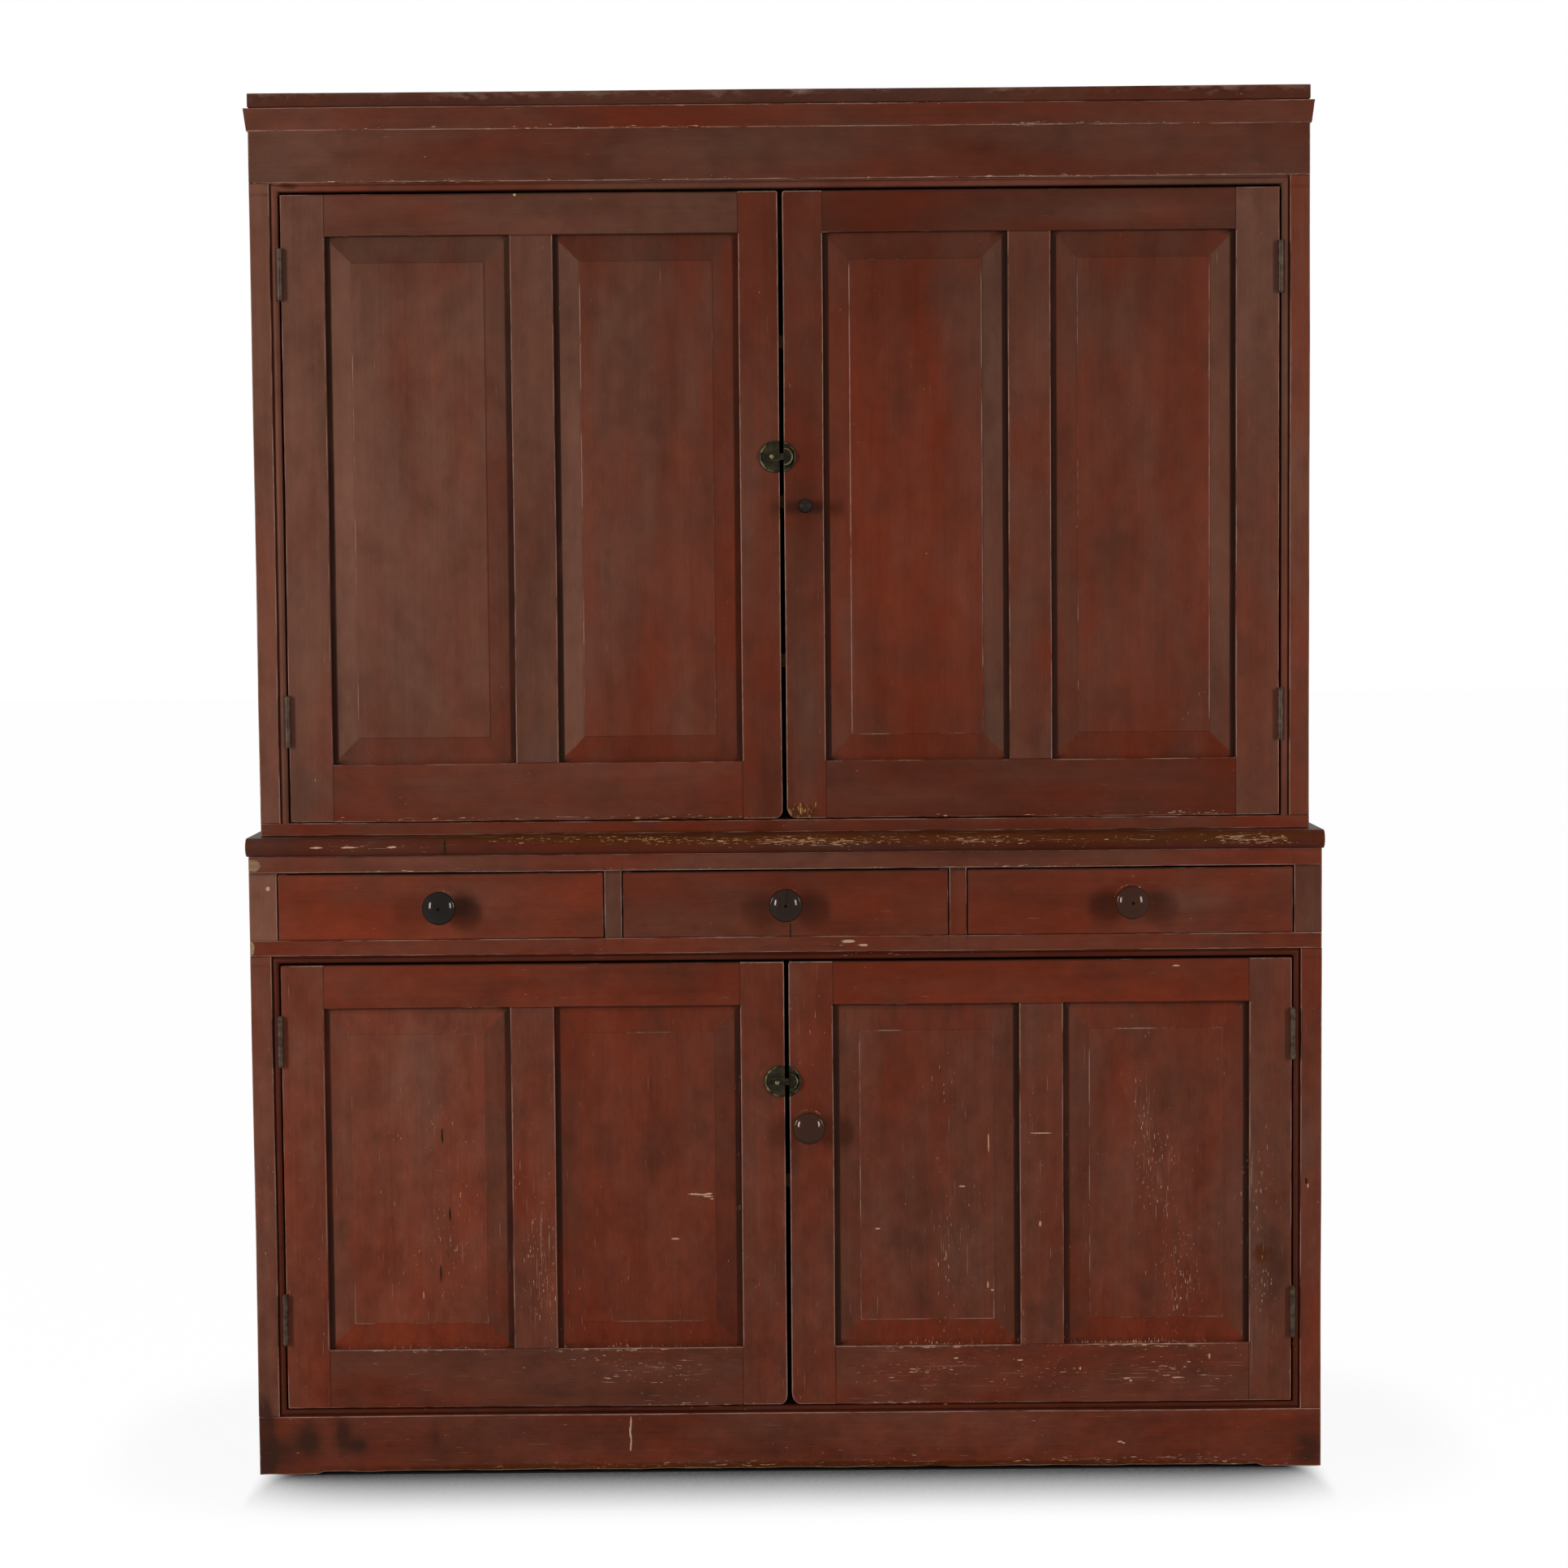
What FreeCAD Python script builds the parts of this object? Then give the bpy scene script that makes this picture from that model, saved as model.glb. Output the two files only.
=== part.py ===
"""Painted pine linen press: an upper cupboard that stands on a lower case with three drawers and a cupboard.

The front faces -Y, X runs to the right and Z up. The origin is on the floor, under the middle of the piece.
"""

import FreeCAD, Part
import math
import os
import Sketcher
from types import SimpleNamespace

# Driving sizes in millimetres. A name that ends in share is a share of another size.
SIZES = {
    # Outlines of the two cases
    "lower_width": 1620,
    "lower_depth": 470,
    "upper_end_setback": 15,
    "upper_setback": 30,
    # Heights, from the floor up
    "base_height": 90,
    "lower_opening_height": 706,
    "middle_rail_height": 24,
    "drawer_opening_height": 102,
    "drawer_rail_height": 26,
    "waist_thickness": 28,
    "sill_rail_height": 19,
    "upper_opening_height": 962,
    "frieze_height": 111,
    "cornice_height": 34,
    "cap_thickness": 22,
    # Boards of the cases
    "side_thickness": 22,
    "frame_thickness": 22,
    "shelf_thickness": 20,
    "shelf_setback": 1.2,
    "housing_depth": 7,
    "back_thickness": 14,
    "back_rabbet_width": 10,
    "back_tongue_thickness": 5,
    "back_tongue_length": 6,
    # Face frames
    "lower_stile_width": 32,
    "upper_stile_width": 30,
    "drawer_end_width": 42,
    "drawer_divider_width": 26,
    "stub_length": 8,
    "stub_thickness": 8,
    "stub_shoulder": 5,
    # Waist board, cornice, cap and base
    "waist_overhang": 14,
    "waist_end_overhang": 2.5,
    "waist_nose_depth": 9,
    "cornice_foot_overhang": 2,
    "cornice_head_overhang": 6,
    "cap_chamfer": 4.5,
    "foot_width": 86,
    "base_relief": 4,
    "base_relief_run": 14,
    # Beaded strips round the door openings
    "quirk_width": 2.5,
    "quirk_depth": 5,
    "lower_bead_width": 8.5,
    "upper_bead_width": 10.5,
    "bead_rise_share": 0.38,
    # Doors
    "door_thickness": 24,
    "meeting_gap": 7,
    "lower_hinge_gap": 2.5,
    "upper_hinge_gap": 3,
    "lower_head_gap": 3.5,
    "upper_head_gap": 4.5,
    "door_foot_gap": 1.8,
    "lower_hinge_stile": 64,
    "lower_meeting_stile": 66.5,
    "lower_muntin": 66,
    "lower_top_rail": 66,
    "lower_foot_rail": 89.5,
    "upper_hinge_stile": 65,
    "upper_meeting_stile": 59.5,
    "upper_muntin": 64,
    "upper_top_rail": 62.5,
    "upper_foot_rail": 87,
    "groove_width": 6,
    "groove_depth": 9,
    "groove_setback": 8,
    "tenon_thickness": 8,
    "tenon_length": 45,
    "tenon_inset": 14,
    "mortise_clearance": 1,
    # Fielded panels
    "panel_bevel_width": 36,
    "panel_tongue_length": 8,
    "upper_field_setback": 1,
    "upper_field_step": 1.5,
    "lower_field_setback": 3,
    "lower_field_step": 1,
    # Butt hinges
    "hinge_length": 76,
    "hinge_leaf_thickness": 2.2,
    "hinge_leaf_depth": 19,
    "hinge_leaf_gap": 0.4,
    "knuckle_radius": 4.2,
    "knuckle_stand_off": 4.6,
    "knuckle_end_gap": 0.25,
    "knuckle_relief": 0.3,
    "pin_radius": 2,
    "pin_clearance": 0.05,
    "pin_head_radius": 3.2,
    "pin_head_height": 1.5,
    "upper_hinge_drop": 119,
    "upper_hinge_rise": 153,
    "lower_hinge_drop": 115,
    "lower_hinge_rise": 138,
    # Cupboard catches
    "catch_radius": 24.2,
    "catch_split": 6.2,
    "catch_plate_thickness": 2.4,
    "catch_plate_bevel": 2,
    "catch_case_length": 23,
    "catch_case_wall": 1.6,
    "keeper_case_radius": 12,
    "bolt_height": 10,
    "bolt_thickness": 3.6,
    "bolt_length": 27,
    "bolt_clearance": 0.5,
    "bolt_nose_gap": 0.5,
    "bolt_stud_setback": 18,
    "bolt_stud_radius": 2.8,
    "bolt_stud_height": 7,
    "upper_catch_rise": 546,
    "lower_catch_rise": 497,
    # Turned knobs and the peg
    "drawer_knob_radius": 25,
    "drawer_knob_projection": 42,
    "door_knob_radius": 24.2,
    "door_knob_projection": 40,
    "door_knob_rise": 429,
    "door_knob_inset": 29,
    "knob_dowel_radius": 8,
    "knob_eye_radius": 2.4,
    "knob_eye_depth": 5,
    "dowel_clearance": 0.1,
    "peg_radius": 9.5,
    "peg_projection": 35,
    "peg_dowel_radius": 7,
    "peg_dish_depth": 3,
    "peg_rise": 472,
    "peg_inset": 31.5,
    # Drawers and what they run on
    "drawer_front_thickness": 20,
    "drawer_side_thickness": 12,
    "drawer_bottom_thickness": 8,
    "drawer_back_inset": 8,
    "drawer_side_gap": 1.8,
    "drawer_head_gap": 2.5,
    "drawer_foot_gap": 0.5,
    "drawer_end_gap": 0.6,
    "drawer_groove_depth": 5,
    "drawer_groove_rise": 9,
    "drawer_housing_depth": 4,
    "dovetail_lap": 6,
    "dovetail_flare": 2.5,
    "dovetail_root_share": 0.5,
    "runner_thickness": 20,
    "runner_lip": 16,
    "guide_height": 22,
    # Length by which a cutting shape runs past what it cuts
    "overrun": 5,
}

# Counts, and the heights of the shelves as shares of their openings
UPPER_SHELF_SHARES = (0.25, 0.5, 0.75)
LOWER_SHELF_SHARES = (0.5,)
DRAWERS = 3
BACK_BOARDS = 5
KNUCKLES = 5
TAILS = 3

# Outline of a turned knob as shares of its head radius and its projection
COLLAR_RADIUS_SHARE = 0.66
COLLAR_HEIGHT_SHARE = 0.1
UNDERSIDE_RADIUS_SHARE = 0.84
UNDERSIDE_HEIGHT_SHARE = 0.56
RIM_HEIGHT_SHARE = 0.7
COVE_RADIUS_SHARE = 0.6
RIM_ARC_SHARE = 0.28
DOME_ARC_SHARE = 1.15
PEG_NECK_SHARE = 0.8

DIAGONAL_SHARE = 1 / math.sqrt(2)
LEFT = -1
RIGHT = 1

doc = FreeCAD.newDocument("linen_press")
sheet = doc.addObject("Spreadsheet::Sheet", "Sizes")
for row, (name, value) in enumerate(SIZES.items(), start=1):
    sheet.set(f"A{row}", name)
    sheet.set(f"B{row}", str(value))
    sheet.setAlias(f"B{row}", name)

NODES = {}


class Size:
    """A length that carries its value and the sheet expression that gives it."""

    def __init__(self, value, text):
        self.value = value
        self.text = text

    def __add__(self, other):
        return Size(self.value + other.value, f"({self.text} + {other.text})")

    def __sub__(self, other):
        return Size(self.value - other.value, f"({self.text} - {other.text})")

    def __neg__(self):
        return Size(-self.value, f"(0 - {self.text})")

    def __mul__(self, other):
        other = other if isinstance(other, Size) else Size(other, repr(other))
        return Size(self.value * other.value, f"({self.text} * {other.text})")

    def __truediv__(self, other):
        other = other if isinstance(other, Size) else Size(other, repr(other))
        return Size(self.value / other.value, f"({self.text} / {other.text})")


S = SimpleNamespace(**{name: Size(value, f"Sizes.{name}") for name, value in SIZES.items()})
ZERO = Size(0, "0")


# Spans along an axis, as pairs of sizes

def centred(middle, length):
    """The span of a length about its middle."""
    return (middle - length / 2, middle + length / 2)


def across(side, near, far):
    """The span between two distances from the middle, on the right or mirrored to the left."""
    return (near, far) if side == RIGHT else (-far, -near)


def shrunk(span, margin):
    """A span drawn in at both ends."""
    return (span[0] + margin, span[1] - margin)


def grown(span, margin):
    """A span let out at both ends."""
    return (span[0] - margin, span[1] + margin)


# Solids

def link(made, **lengths):
    """Ties properties of an object to sizes of the sheet."""
    for name, size in lengths.items():
        made.setExpression(name, size.text)


def place(made, x, y, z):
    """Ties the place of an object to sizes of the sheet."""
    for axis, size in zip("xyz", (x, y, z)):
        made.setExpression(f"Placement.Base.{axis}", size.text)


def turn(made, axis, degrees):
    """Turns an object about an axis through its own origin."""
    made.Placement.Rotation = FreeCAD.Rotation(FreeCAD.Vector(*axis), degrees)


def board(x, y, z):
    """A squared board that fills three spans."""
    made = doc.addObject("Part::Box", "Board")
    link(made, Length=x[1] - x[0], Width=y[1] - y[0], Height=z[1] - z[0])
    place(made, x[0], y[0], z[0])
    return made


def tapered(front_x, front_z, back_x, back_z, y):
    """A block whose section changes evenly from its front end to its back end along Y."""
    made = doc.addObject("Part::Wedge", "Tapered")
    link(made, Xmin=front_x[0], Xmax=front_x[1], Zmin=front_z[0], Zmax=front_z[1], Ymin=y[0], Ymax=y[1])
    link(made, X2min=back_x[0], X2max=back_x[1], Z2min=back_z[0], Z2max=back_z[1])
    return made


def rod(radius, x, y, z):
    """An upright round rod that fills the span z."""
    made = doc.addObject("Part::Cylinder", "Rod")
    link(made, Radius=radius, Height=z[1] - z[0])
    place(made, x, y, z[0])
    return made


def disc(foot_radius, head_radius, x, y, z):
    """A round plate or boss that stands on the back of the span y and faces the front."""
    made = doc.addObject("Part::Cone", "Disc")
    link(made, Radius1=foot_radius, Radius2=head_radius, Height=y[1] - y[0])
    turn(made, (1, 0, 0), 90)
    place(made, x, y[1], z)
    return made


def bore(radius, x, y, z):
    """A round rod that lies along Y and fills the span y."""
    made = doc.addObject("Part::Cylinder", "Bore")
    link(made, Radius=radius, Height=y[1] - y[0])
    turn(made, (1, 0, 0), 90)
    place(made, x, y[1], z)
    return made


def fuse(*pieces):
    """One solid grown from several."""
    made = doc.addObject("Part::MultiFuse", "Joined")
    made.Shapes = list(pieces)
    made.Refine = True
    return made


def cut(base, *tools):
    """A solid with others taken away from it."""
    made = doc.addObject("Part::Cut", "Worked")
    made.Base = base
    made.Tool = tools[0] if len(tools) == 1 else fuse(*tools)
    made.Refine = True
    return made


def common(first, second):
    """What two solids share."""
    made = doc.addObject("Part::Common", "Shared")
    made.Base = first
    made.Tool = second
    return made


def node(label, made):
    """Names a finished sub-part."""
    made.Label = label
    NODES[label] = made
    return made


def group(label, *pieces):
    """A sub-part of several separate solids."""
    made = doc.addObject("Part::Compound", label)
    made.Links = list(pieces)
    return node(label, made)


# Sketched profiles

def arc_between(start, finish, radius, left):
    """The arc under half a circle from start to finish, with its centre to the left or right of the way."""
    way = finish - start
    reach = math.sqrt(radius * radius - way.Length * way.Length / 4)
    aside = FreeCAD.Vector(-way.y, way.x, 0).normalize() * (reach if left else -reach)
    centre = (start + finish) / 2 + aside
    angles = [math.atan2(point.y - centre.y, point.x - centre.x) for point in (start, finish)]
    first, last = angles if left else reversed(angles)
    circle = Part.Circle(centre, FreeCAD.Vector(0, 0, 1), radius)
    return Part.ArcOfCircle(circle, first, last if last > first else last + 2 * math.pi)


def outline(body, role, corners):
    """A closed outline in an origin plane. Each corner is (u, v), reached by a line, or (u, v, radius, left)."""
    sketch = body.newObject("Sketcher::SketchObject", "Outline")
    sketch.AttachmentSupport = [(next(p for p in body.Origin.OriginFeatures if p.Role == role), "")]
    sketch.MapMode = "FlatFace"
    points = [FreeCAD.Vector(corner[0].value, corner[1].value, 0) for corner in corners]
    ends = []
    for number, corner in enumerate(corners):
        start = points[number - 1]
        finish = points[number]
        if len(corner) == 2:
            sketch.addGeometry(Part.LineSegment(start, finish))
            ends.append((1, 2))
        else:
            sketch.addGeometry(arc_between(start, finish, corner[2].value, corner[3]))
            ends.append((1, 2) if corner[3] else (2, 1))
    for number, corner in enumerate(corners):
        last = ends[number][1]
        following = (number + 1) % len(corners)
        sketch.addConstraint(Sketcher.Constraint("Coincident", number, last, following, ends[following][0]))
        for kind, axis, size in (("DistanceX", -2, corner[0]), ("DistanceY", -1, corner[1])):
            if size is ZERO:
                sketch.addConstraint(Sketcher.Constraint("PointOnObject", number, last, axis))
            else:
                index = sketch.addConstraint(Sketcher.Constraint(kind, -1, 1, number, last, size.value))
                sketch.setExpression(f"Constraints[{index}]", size.text)
        if len(corner) > 2:
            index = sketch.addConstraint(Sketcher.Constraint("Radius", number, corner[2].value))
            sketch.setExpression(f"Constraints[{index}]", corner[2].text)
    return sketch


def padded(role, corners, length, side_type="One side", backwards=False):
    """A body that carries a profile straight along the normal of its plane."""
    body = doc.addObject("PartDesign::Body", "Profiled")
    sketch = outline(body, role, corners)
    pad = body.newObject("PartDesign::Pad", "Run")
    pad.Profile = sketch
    pad.SideType = side_type
    pad.Reversed = backwards
    link(pad, Length=length)
    return body


def turned(corners):
    """A body turned about the Y axis, from corners given as (radius, y)."""
    body = doc.addObject("PartDesign::Body", "Turned")
    sketch = outline(body, "XY_Plane", corners)
    spin = body.newObject("PartDesign::Revolution", "Spin")
    spin.Profile = sketch
    spin.ReferenceAxis = (sketch, ["V_Axis"])
    spin.Angle = 360
    return body


def arc_radius(chord, rise):
    """The radius of an arc with a given chord and rise."""
    return (chord * chord / 4 + rise * rise) / (rise * 2)


# Main planes of the piece

face = (S.drawer_knob_projection - S.lower_depth) / 2
back = face + S.lower_depth
upper_face = face + S.upper_setback
back_inside = back - S.back_thickness

lower_half = S.lower_width / 2
upper_half = lower_half - S.upper_end_setback

base_top = S.base_height
middle_rail_foot = base_top + S.lower_opening_height
drawer_floor = middle_rail_foot + S.middle_rail_height
drawer_head = drawer_floor + S.drawer_opening_height
waist_foot = drawer_head + S.drawer_rail_height
waist_top = waist_foot + S.waist_thickness
sill_top = waist_top + S.sill_rail_height
frieze_foot = sill_top + S.upper_opening_height
cap_foot = frieze_foot + S.frieze_height
cap_top = cap_foot + S.cap_thickness

lower_strip = S.quirk_width + S.lower_bead_width
upper_strip = S.quirk_width + S.upper_bead_width
lower_opening = lower_half - S.lower_stile_width
upper_opening = upper_half - S.upper_stile_width

# What the two cases give their doors
UPPER = SimpleNamespace(
    face=upper_face,
    outer=upper_opening - upper_strip - S.upper_hinge_gap,
    hinge_line=upper_opening - upper_strip - S.upper_hinge_gap / 2,
    foot=sill_top + S.door_foot_gap,
    head=frieze_foot - upper_strip - S.upper_head_gap,
    hinge_stile=S.upper_hinge_stile,
    meeting_stile=S.upper_meeting_stile,
    muntin=S.upper_muntin,
    top_rail=S.upper_top_rail,
    foot_rail=S.upper_foot_rail,
    field_setback=S.upper_field_setback,
    field_step=S.upper_field_step,
)
LOWER = SimpleNamespace(
    face=face,
    outer=lower_opening - lower_strip - S.lower_hinge_gap,
    hinge_line=lower_opening - lower_strip - S.lower_hinge_gap / 2,
    foot=base_top + lower_strip + S.door_foot_gap,
    head=middle_rail_foot - lower_strip - S.lower_head_gap,
    hinge_stile=S.lower_hinge_stile,
    meeting_stile=S.lower_meeting_stile,
    muntin=S.lower_muntin,
    top_rail=S.lower_top_rail,
    foot_rail=S.lower_foot_rail,
    field_setback=S.lower_field_setback,
    field_step=S.lower_field_step,
)
UPPER.hinge_levels = (UPPER.foot + S.upper_hinge_rise, UPPER.head - S.upper_hinge_drop)
LOWER.hinge_levels = (LOWER.foot + S.lower_hinge_rise, LOWER.head - S.lower_hinge_drop)
upper_catch_level = UPPER.foot + S.upper_catch_rise
lower_catch_level = LOWER.foot + S.lower_catch_rise


# Boards of the cases

def side_board(label, side, half, front, height, levels):
    """A side with a rabbet for the back boards and a housing for each level board."""
    inner = half - S.side_thickness
    blank = board(across(side, inner, half), (front, back), height)
    rabbet = board(
        across(side, inner - S.overrun, inner + S.back_rabbet_width),
        (back_inside, back + S.overrun),
        grown(height, S.overrun),
    )
    reach = across(side, inner - S.overrun, inner + S.housing_depth)
    housings = [board(reach, (front - S.overrun, back_inside + S.overrun), level) for level in levels]
    node(label, cut(blank, rabbet, *housings))


def level_board(half, front, level):
    """A shelf or floor that runs from housing to housing."""
    reach = half - S.side_thickness + S.housing_depth
    return board((-reach, reach), (front, back_inside), level)


def back_boards(label, half, height):
    """Upright back boards with tongued and grooved edges, between the rabbets of the sides."""
    reach = half - S.side_thickness + S.back_rabbet_width
    pitch = reach * 2 / BACK_BOARDS
    tongue_y = centred(back - S.back_thickness / 2, S.back_tongue_thickness)
    boards = []
    for number in range(BACK_BOARDS):
        left = pitch * number - reach
        right = left + pitch
        made = board((left, right), (back_inside, back), height)
        if number < BACK_BOARDS - 1:
            made = fuse(made, board((right - S.overrun, right + S.back_tongue_length), tongue_y, height))
        if number > 0:
            grooved = (left - S.overrun, left + S.back_tongue_length)
            made = cut(made, board(grooved, tongue_y, grown(height, S.overrun)))
        boards.append(made)
    group(label, *boards)


upper_levels = [
    centred(sill_top + S.upper_opening_height * share, S.shelf_thickness) for share in UPPER_SHELF_SHARES
]
lower_levels = [
    centred(base_top + S.lower_opening_height * share, S.shelf_thickness) for share in LOWER_SHELF_SHARES
]
upper_floor = (waist_top, sill_top)
lower_floor_top = base_top + lower_strip
lower_floor = (lower_floor_top - S.shelf_thickness, lower_floor_top)
upper_front = upper_face + S.frame_thickness
lower_front = face + S.frame_thickness

upper_height = (waist_top, cap_foot)
lower_height = (ZERO, waist_foot)
for side, hand in ((LEFT, "left"), (RIGHT, "right")):
    side_board(f"upper_{hand}_side", side, upper_half, upper_front, upper_height, [upper_floor, *upper_levels])
    side_board(f"lower_{hand}_side", side, lower_half, lower_front, lower_height, [lower_floor, *lower_levels])

upper_shelf_front = upper_face + S.door_thickness + S.shelf_setback
lower_shelf_front = face + S.door_thickness + S.shelf_setback
node("upper_floor_board", level_board(upper_half, upper_front, upper_floor))
node("lower_floor_board", level_board(lower_half, lower_front, lower_floor))
group("upper_shelves", *[level_board(upper_half, upper_shelf_front, level) for level in upper_levels])
node("lower_shelf", level_board(lower_half, lower_shelf_front, lower_levels[0]))
back_boards("upper_back_boards", upper_half, upper_height)
back_boards("lower_back_boards", lower_half, (lower_floor[0], waist_foot))


# Cap, cornice and waist

def leaning(low_x, low_y, high_x, high_y, z):
    """A block whose plan changes evenly from its foot to its head."""
    made = doc.addObject("Part::Wedge", "Leaning")
    link(made, Xmin=low_x[0], Xmax=low_x[1], X2min=high_x[0], X2max=high_x[1], Ymin=z[0], Ymax=z[1])
    link(made, Zmin=-low_y[1], Zmax=-low_y[0], Z2min=-high_y[1], Z2max=-high_y[0])
    turn(made, (1, 0, 0), 90)
    return made


def cap_board():
    """The top board, with its lower front and end edges chamfered off."""
    x = (-upper_half, upper_half)
    y = (upper_face - S.cornice_foot_overhang, back)
    shoulder = cap_foot + S.cap_chamfer
    chamfered = leaning(shrunk(x, S.cap_chamfer), (y[0] + S.cap_chamfer, back), x, y, (cap_foot, shoulder))
    node("cap_board", fuse(chamfered, board(x, y, (shoulder, cap_top))))


def cornice():
    """A moulding that leans out from foot to head, mitred round the front and the two ends."""
    foot = cap_foot - S.cornice_height
    near = (-upper_half, upper_half)
    low, high = S.cornice_foot_overhang, S.cornice_head_overhang
    plans = [(grown(near, overhang), (upper_face - overhang, back)) for overhang in (low, high)]
    block = leaning(*plans[0], *plans[1], (foot, cap_foot))
    height = grown((foot, cap_foot), S.overrun)
    case = board(near, (upper_face, back + S.overrun), height)
    reach = high + S.overrun
    mitre = tapered(grown(near, reach), height, near, height, (upper_face - reach, upper_face))
    group("cornice_moulding", common(block, mitre), cut(block, case, mitre))


def waist_board():
    """The top of the lower case, with a round nose along its front edge."""
    nose = face - S.waist_overhang
    shoulder = nose + S.waist_nose_depth
    radius = arc_radius(S.waist_thickness, S.waist_nose_depth)
    corners = [
        (back, waist_foot),
        (back, waist_top),
        (shoulder, waist_top),
        (shoulder, waist_foot, radius, True),
    ]
    width = S.lower_width + S.waist_end_overhang * 2
    node("waist_board", padded("YZ_Plane", corners, width, side_type="Symmetric"))


cap_board()
cornice()
waist_board()


# Face frames

def stub(x, front, level, length):
    """A stub tenon on the end of an upright, in the middle of the frame's thickness."""
    y = centred(front + S.frame_thickness / 2, S.stub_thickness)
    return board(shrunk(x, S.stub_shoulder), y, (level - length, level + length))


def upright(x, front, height):
    """An upright of the face frame with a stub tenon at each end."""
    stubs = [stub(x, front, level, S.stub_length) for level in height]
    return fuse(board(x, (front, front + S.frame_thickness), height), *stubs)


def rail(label, half, front, height, sockets):
    """A rail as wide as its case, socketed for the stub tenons that meet it."""
    blank = board((-half, half), (front, front + S.frame_thickness), height)
    node(label, cut(blank, *[stub(x, front, level, S.stub_length) for x, level in sockets]))


drawer_pitch = (S.lower_width - S.drawer_end_width * 2 + S.drawer_divider_width) / DRAWERS
drawer_opening = drawer_pitch - S.drawer_divider_width
end_spans = [across(side, lower_half - S.drawer_end_width, lower_half) for side in (LEFT, RIGHT)]
divider_spans = [
    centred(drawer_pitch * (number - DRAWERS / 2), S.drawer_divider_width) for number in range(1, DRAWERS)
]
drawer_uprights = end_spans + divider_spans
lower_stiles = [across(side, lower_opening, lower_half) for side in (LEFT, RIGHT)]
upper_stiles = [across(side, upper_opening, upper_half) for side in (LEFT, RIGHT)]


def base_board():
    """The base, relieved along the floor between a foot at each end."""
    relief_end = lower_half - S.foot_width
    relief_start = relief_end - S.base_relief_run
    corners = [
        (-lower_half, ZERO),
        (-relief_end, ZERO),
        (-relief_start, S.base_relief),
        (relief_start, S.base_relief),
        (relief_end, ZERO),
        (lower_half, ZERO),
        (lower_half, base_top),
        (-lower_half, base_top),
    ]
    body = padded("XZ_Plane", corners, S.frame_thickness, backwards=True)
    place(body, ZERO, face, ZERO)
    node("base_board", cut(body, *[stub(x, face, base_top, S.stub_length) for x in lower_stiles]))


base_board()
middle_sockets = [(x, drawer_floor) for x in drawer_uprights] + [(x, middle_rail_foot) for x in lower_stiles]
drawer_sockets = [(x, drawer_head) for x in drawer_uprights]
sill_sockets = [(x, sill_top) for x in upper_stiles]
frieze_sockets = [(x, frieze_foot) for x in upper_stiles]
rail("middle_rail", lower_half, face, (middle_rail_foot, drawer_floor), middle_sockets)
rail("drawer_top_rail", lower_half, face, (drawer_head, waist_foot), drawer_sockets)
rail("sill_rail", upper_half, upper_face, (waist_top, sill_top), sill_sockets)
rail("frieze_board", upper_half, upper_face, (frieze_foot, cap_foot), frieze_sockets)
group("drawer_uprights", *[upright(x, face, (drawer_floor, drawer_head)) for x in drawer_uprights])
group("lower_stiles", *[upright(x, face, (base_top, middle_rail_foot)) for x in lower_stiles])
group("upper_stiles", *[upright(x, upper_face, (sill_top, frieze_foot)) for x in upper_stiles])


# Beaded strips

def bead_strip(bead_width, length, mitred_foot, mitred_head):
    """A strip run with a quirk and a bead, along Z from its own origin, mitred towards its beaded edge."""
    width = S.quirk_width + bead_width
    rise = bead_width * S.bead_rise_share
    corners = [
        (ZERO, S.quirk_depth),
        (S.quirk_width, S.quirk_depth),
        (S.quirk_width, rise),
        (width, rise, arc_radius(bead_width, rise), True),
        (width, S.frame_thickness),
        (ZERO, S.frame_thickness),
    ]
    strip = padded("XY_Plane", corners, length)
    size = (width + S.overrun) * 2
    aside = size * DIAGONAL_SHARE
    start = S.overrun * DIAGONAL_SHARE
    blocks = []
    for wanted, degrees, x, z in (
        (mitred_foot, -45, aside - start, -aside - start),
        (mitred_head, 45, -start, length + start),
    ):
        if wanted:
            block = doc.addObject("Part::Box", "Mitre")
            link(block, Length=size, Width=S.frame_thickness + S.overrun * 2, Height=size)
            turn(block, (0, 1, 0), degrees)
            place(block, x, -S.overrun, z)
            blocks.append(block)
    return cut(strip, *blocks)


def set_strip(strip, degrees, x, y, z):
    """Stands a strip on its place round the opening."""
    turn(strip, (0, 1, 0), degrees)
    place(strip, x, y, z)
    return strip


def hinge_plate(side, case, level, of_door):
    """The flat of a hinge leaf, on the door's side or the frame's side of the joint line."""
    near = S.hinge_leaf_gap / 2
    far = near + S.hinge_leaf_thickness
    line = case.hinge_line
    reach = (line - far, line - near) if of_door else (line + near, line + far)
    y = (case.face - S.knuckle_stand_off, case.face + S.hinge_leaf_depth)
    return board(across(side, *reach), y, centred(level, S.hinge_length))


def gained(strip, side, case):
    """A side strip with a gain for the leaf of each hinge."""
    return cut(strip, *[hinge_plate(side, case, level, False) for level in case.hinge_levels])


def upper_beads():
    """Strips down both sides and across the head of the upper opening, mitred at the two corners."""
    bead = S.upper_bead_width
    height = S.upper_opening_height
    width = upper_opening * 2
    left = set_strip(bead_strip(bead, height, False, True), 0, -upper_opening, upper_face, sill_top)
    right = set_strip(bead_strip(bead, height, True, False), 180, upper_opening, upper_face, frieze_foot)
    head = set_strip(bead_strip(bead, width, True, True), 90, -upper_opening, upper_face, frieze_foot)
    group("upper_opening_beads", gained(left, LEFT, UPPER), gained(right, RIGHT, UPPER), head)


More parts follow.
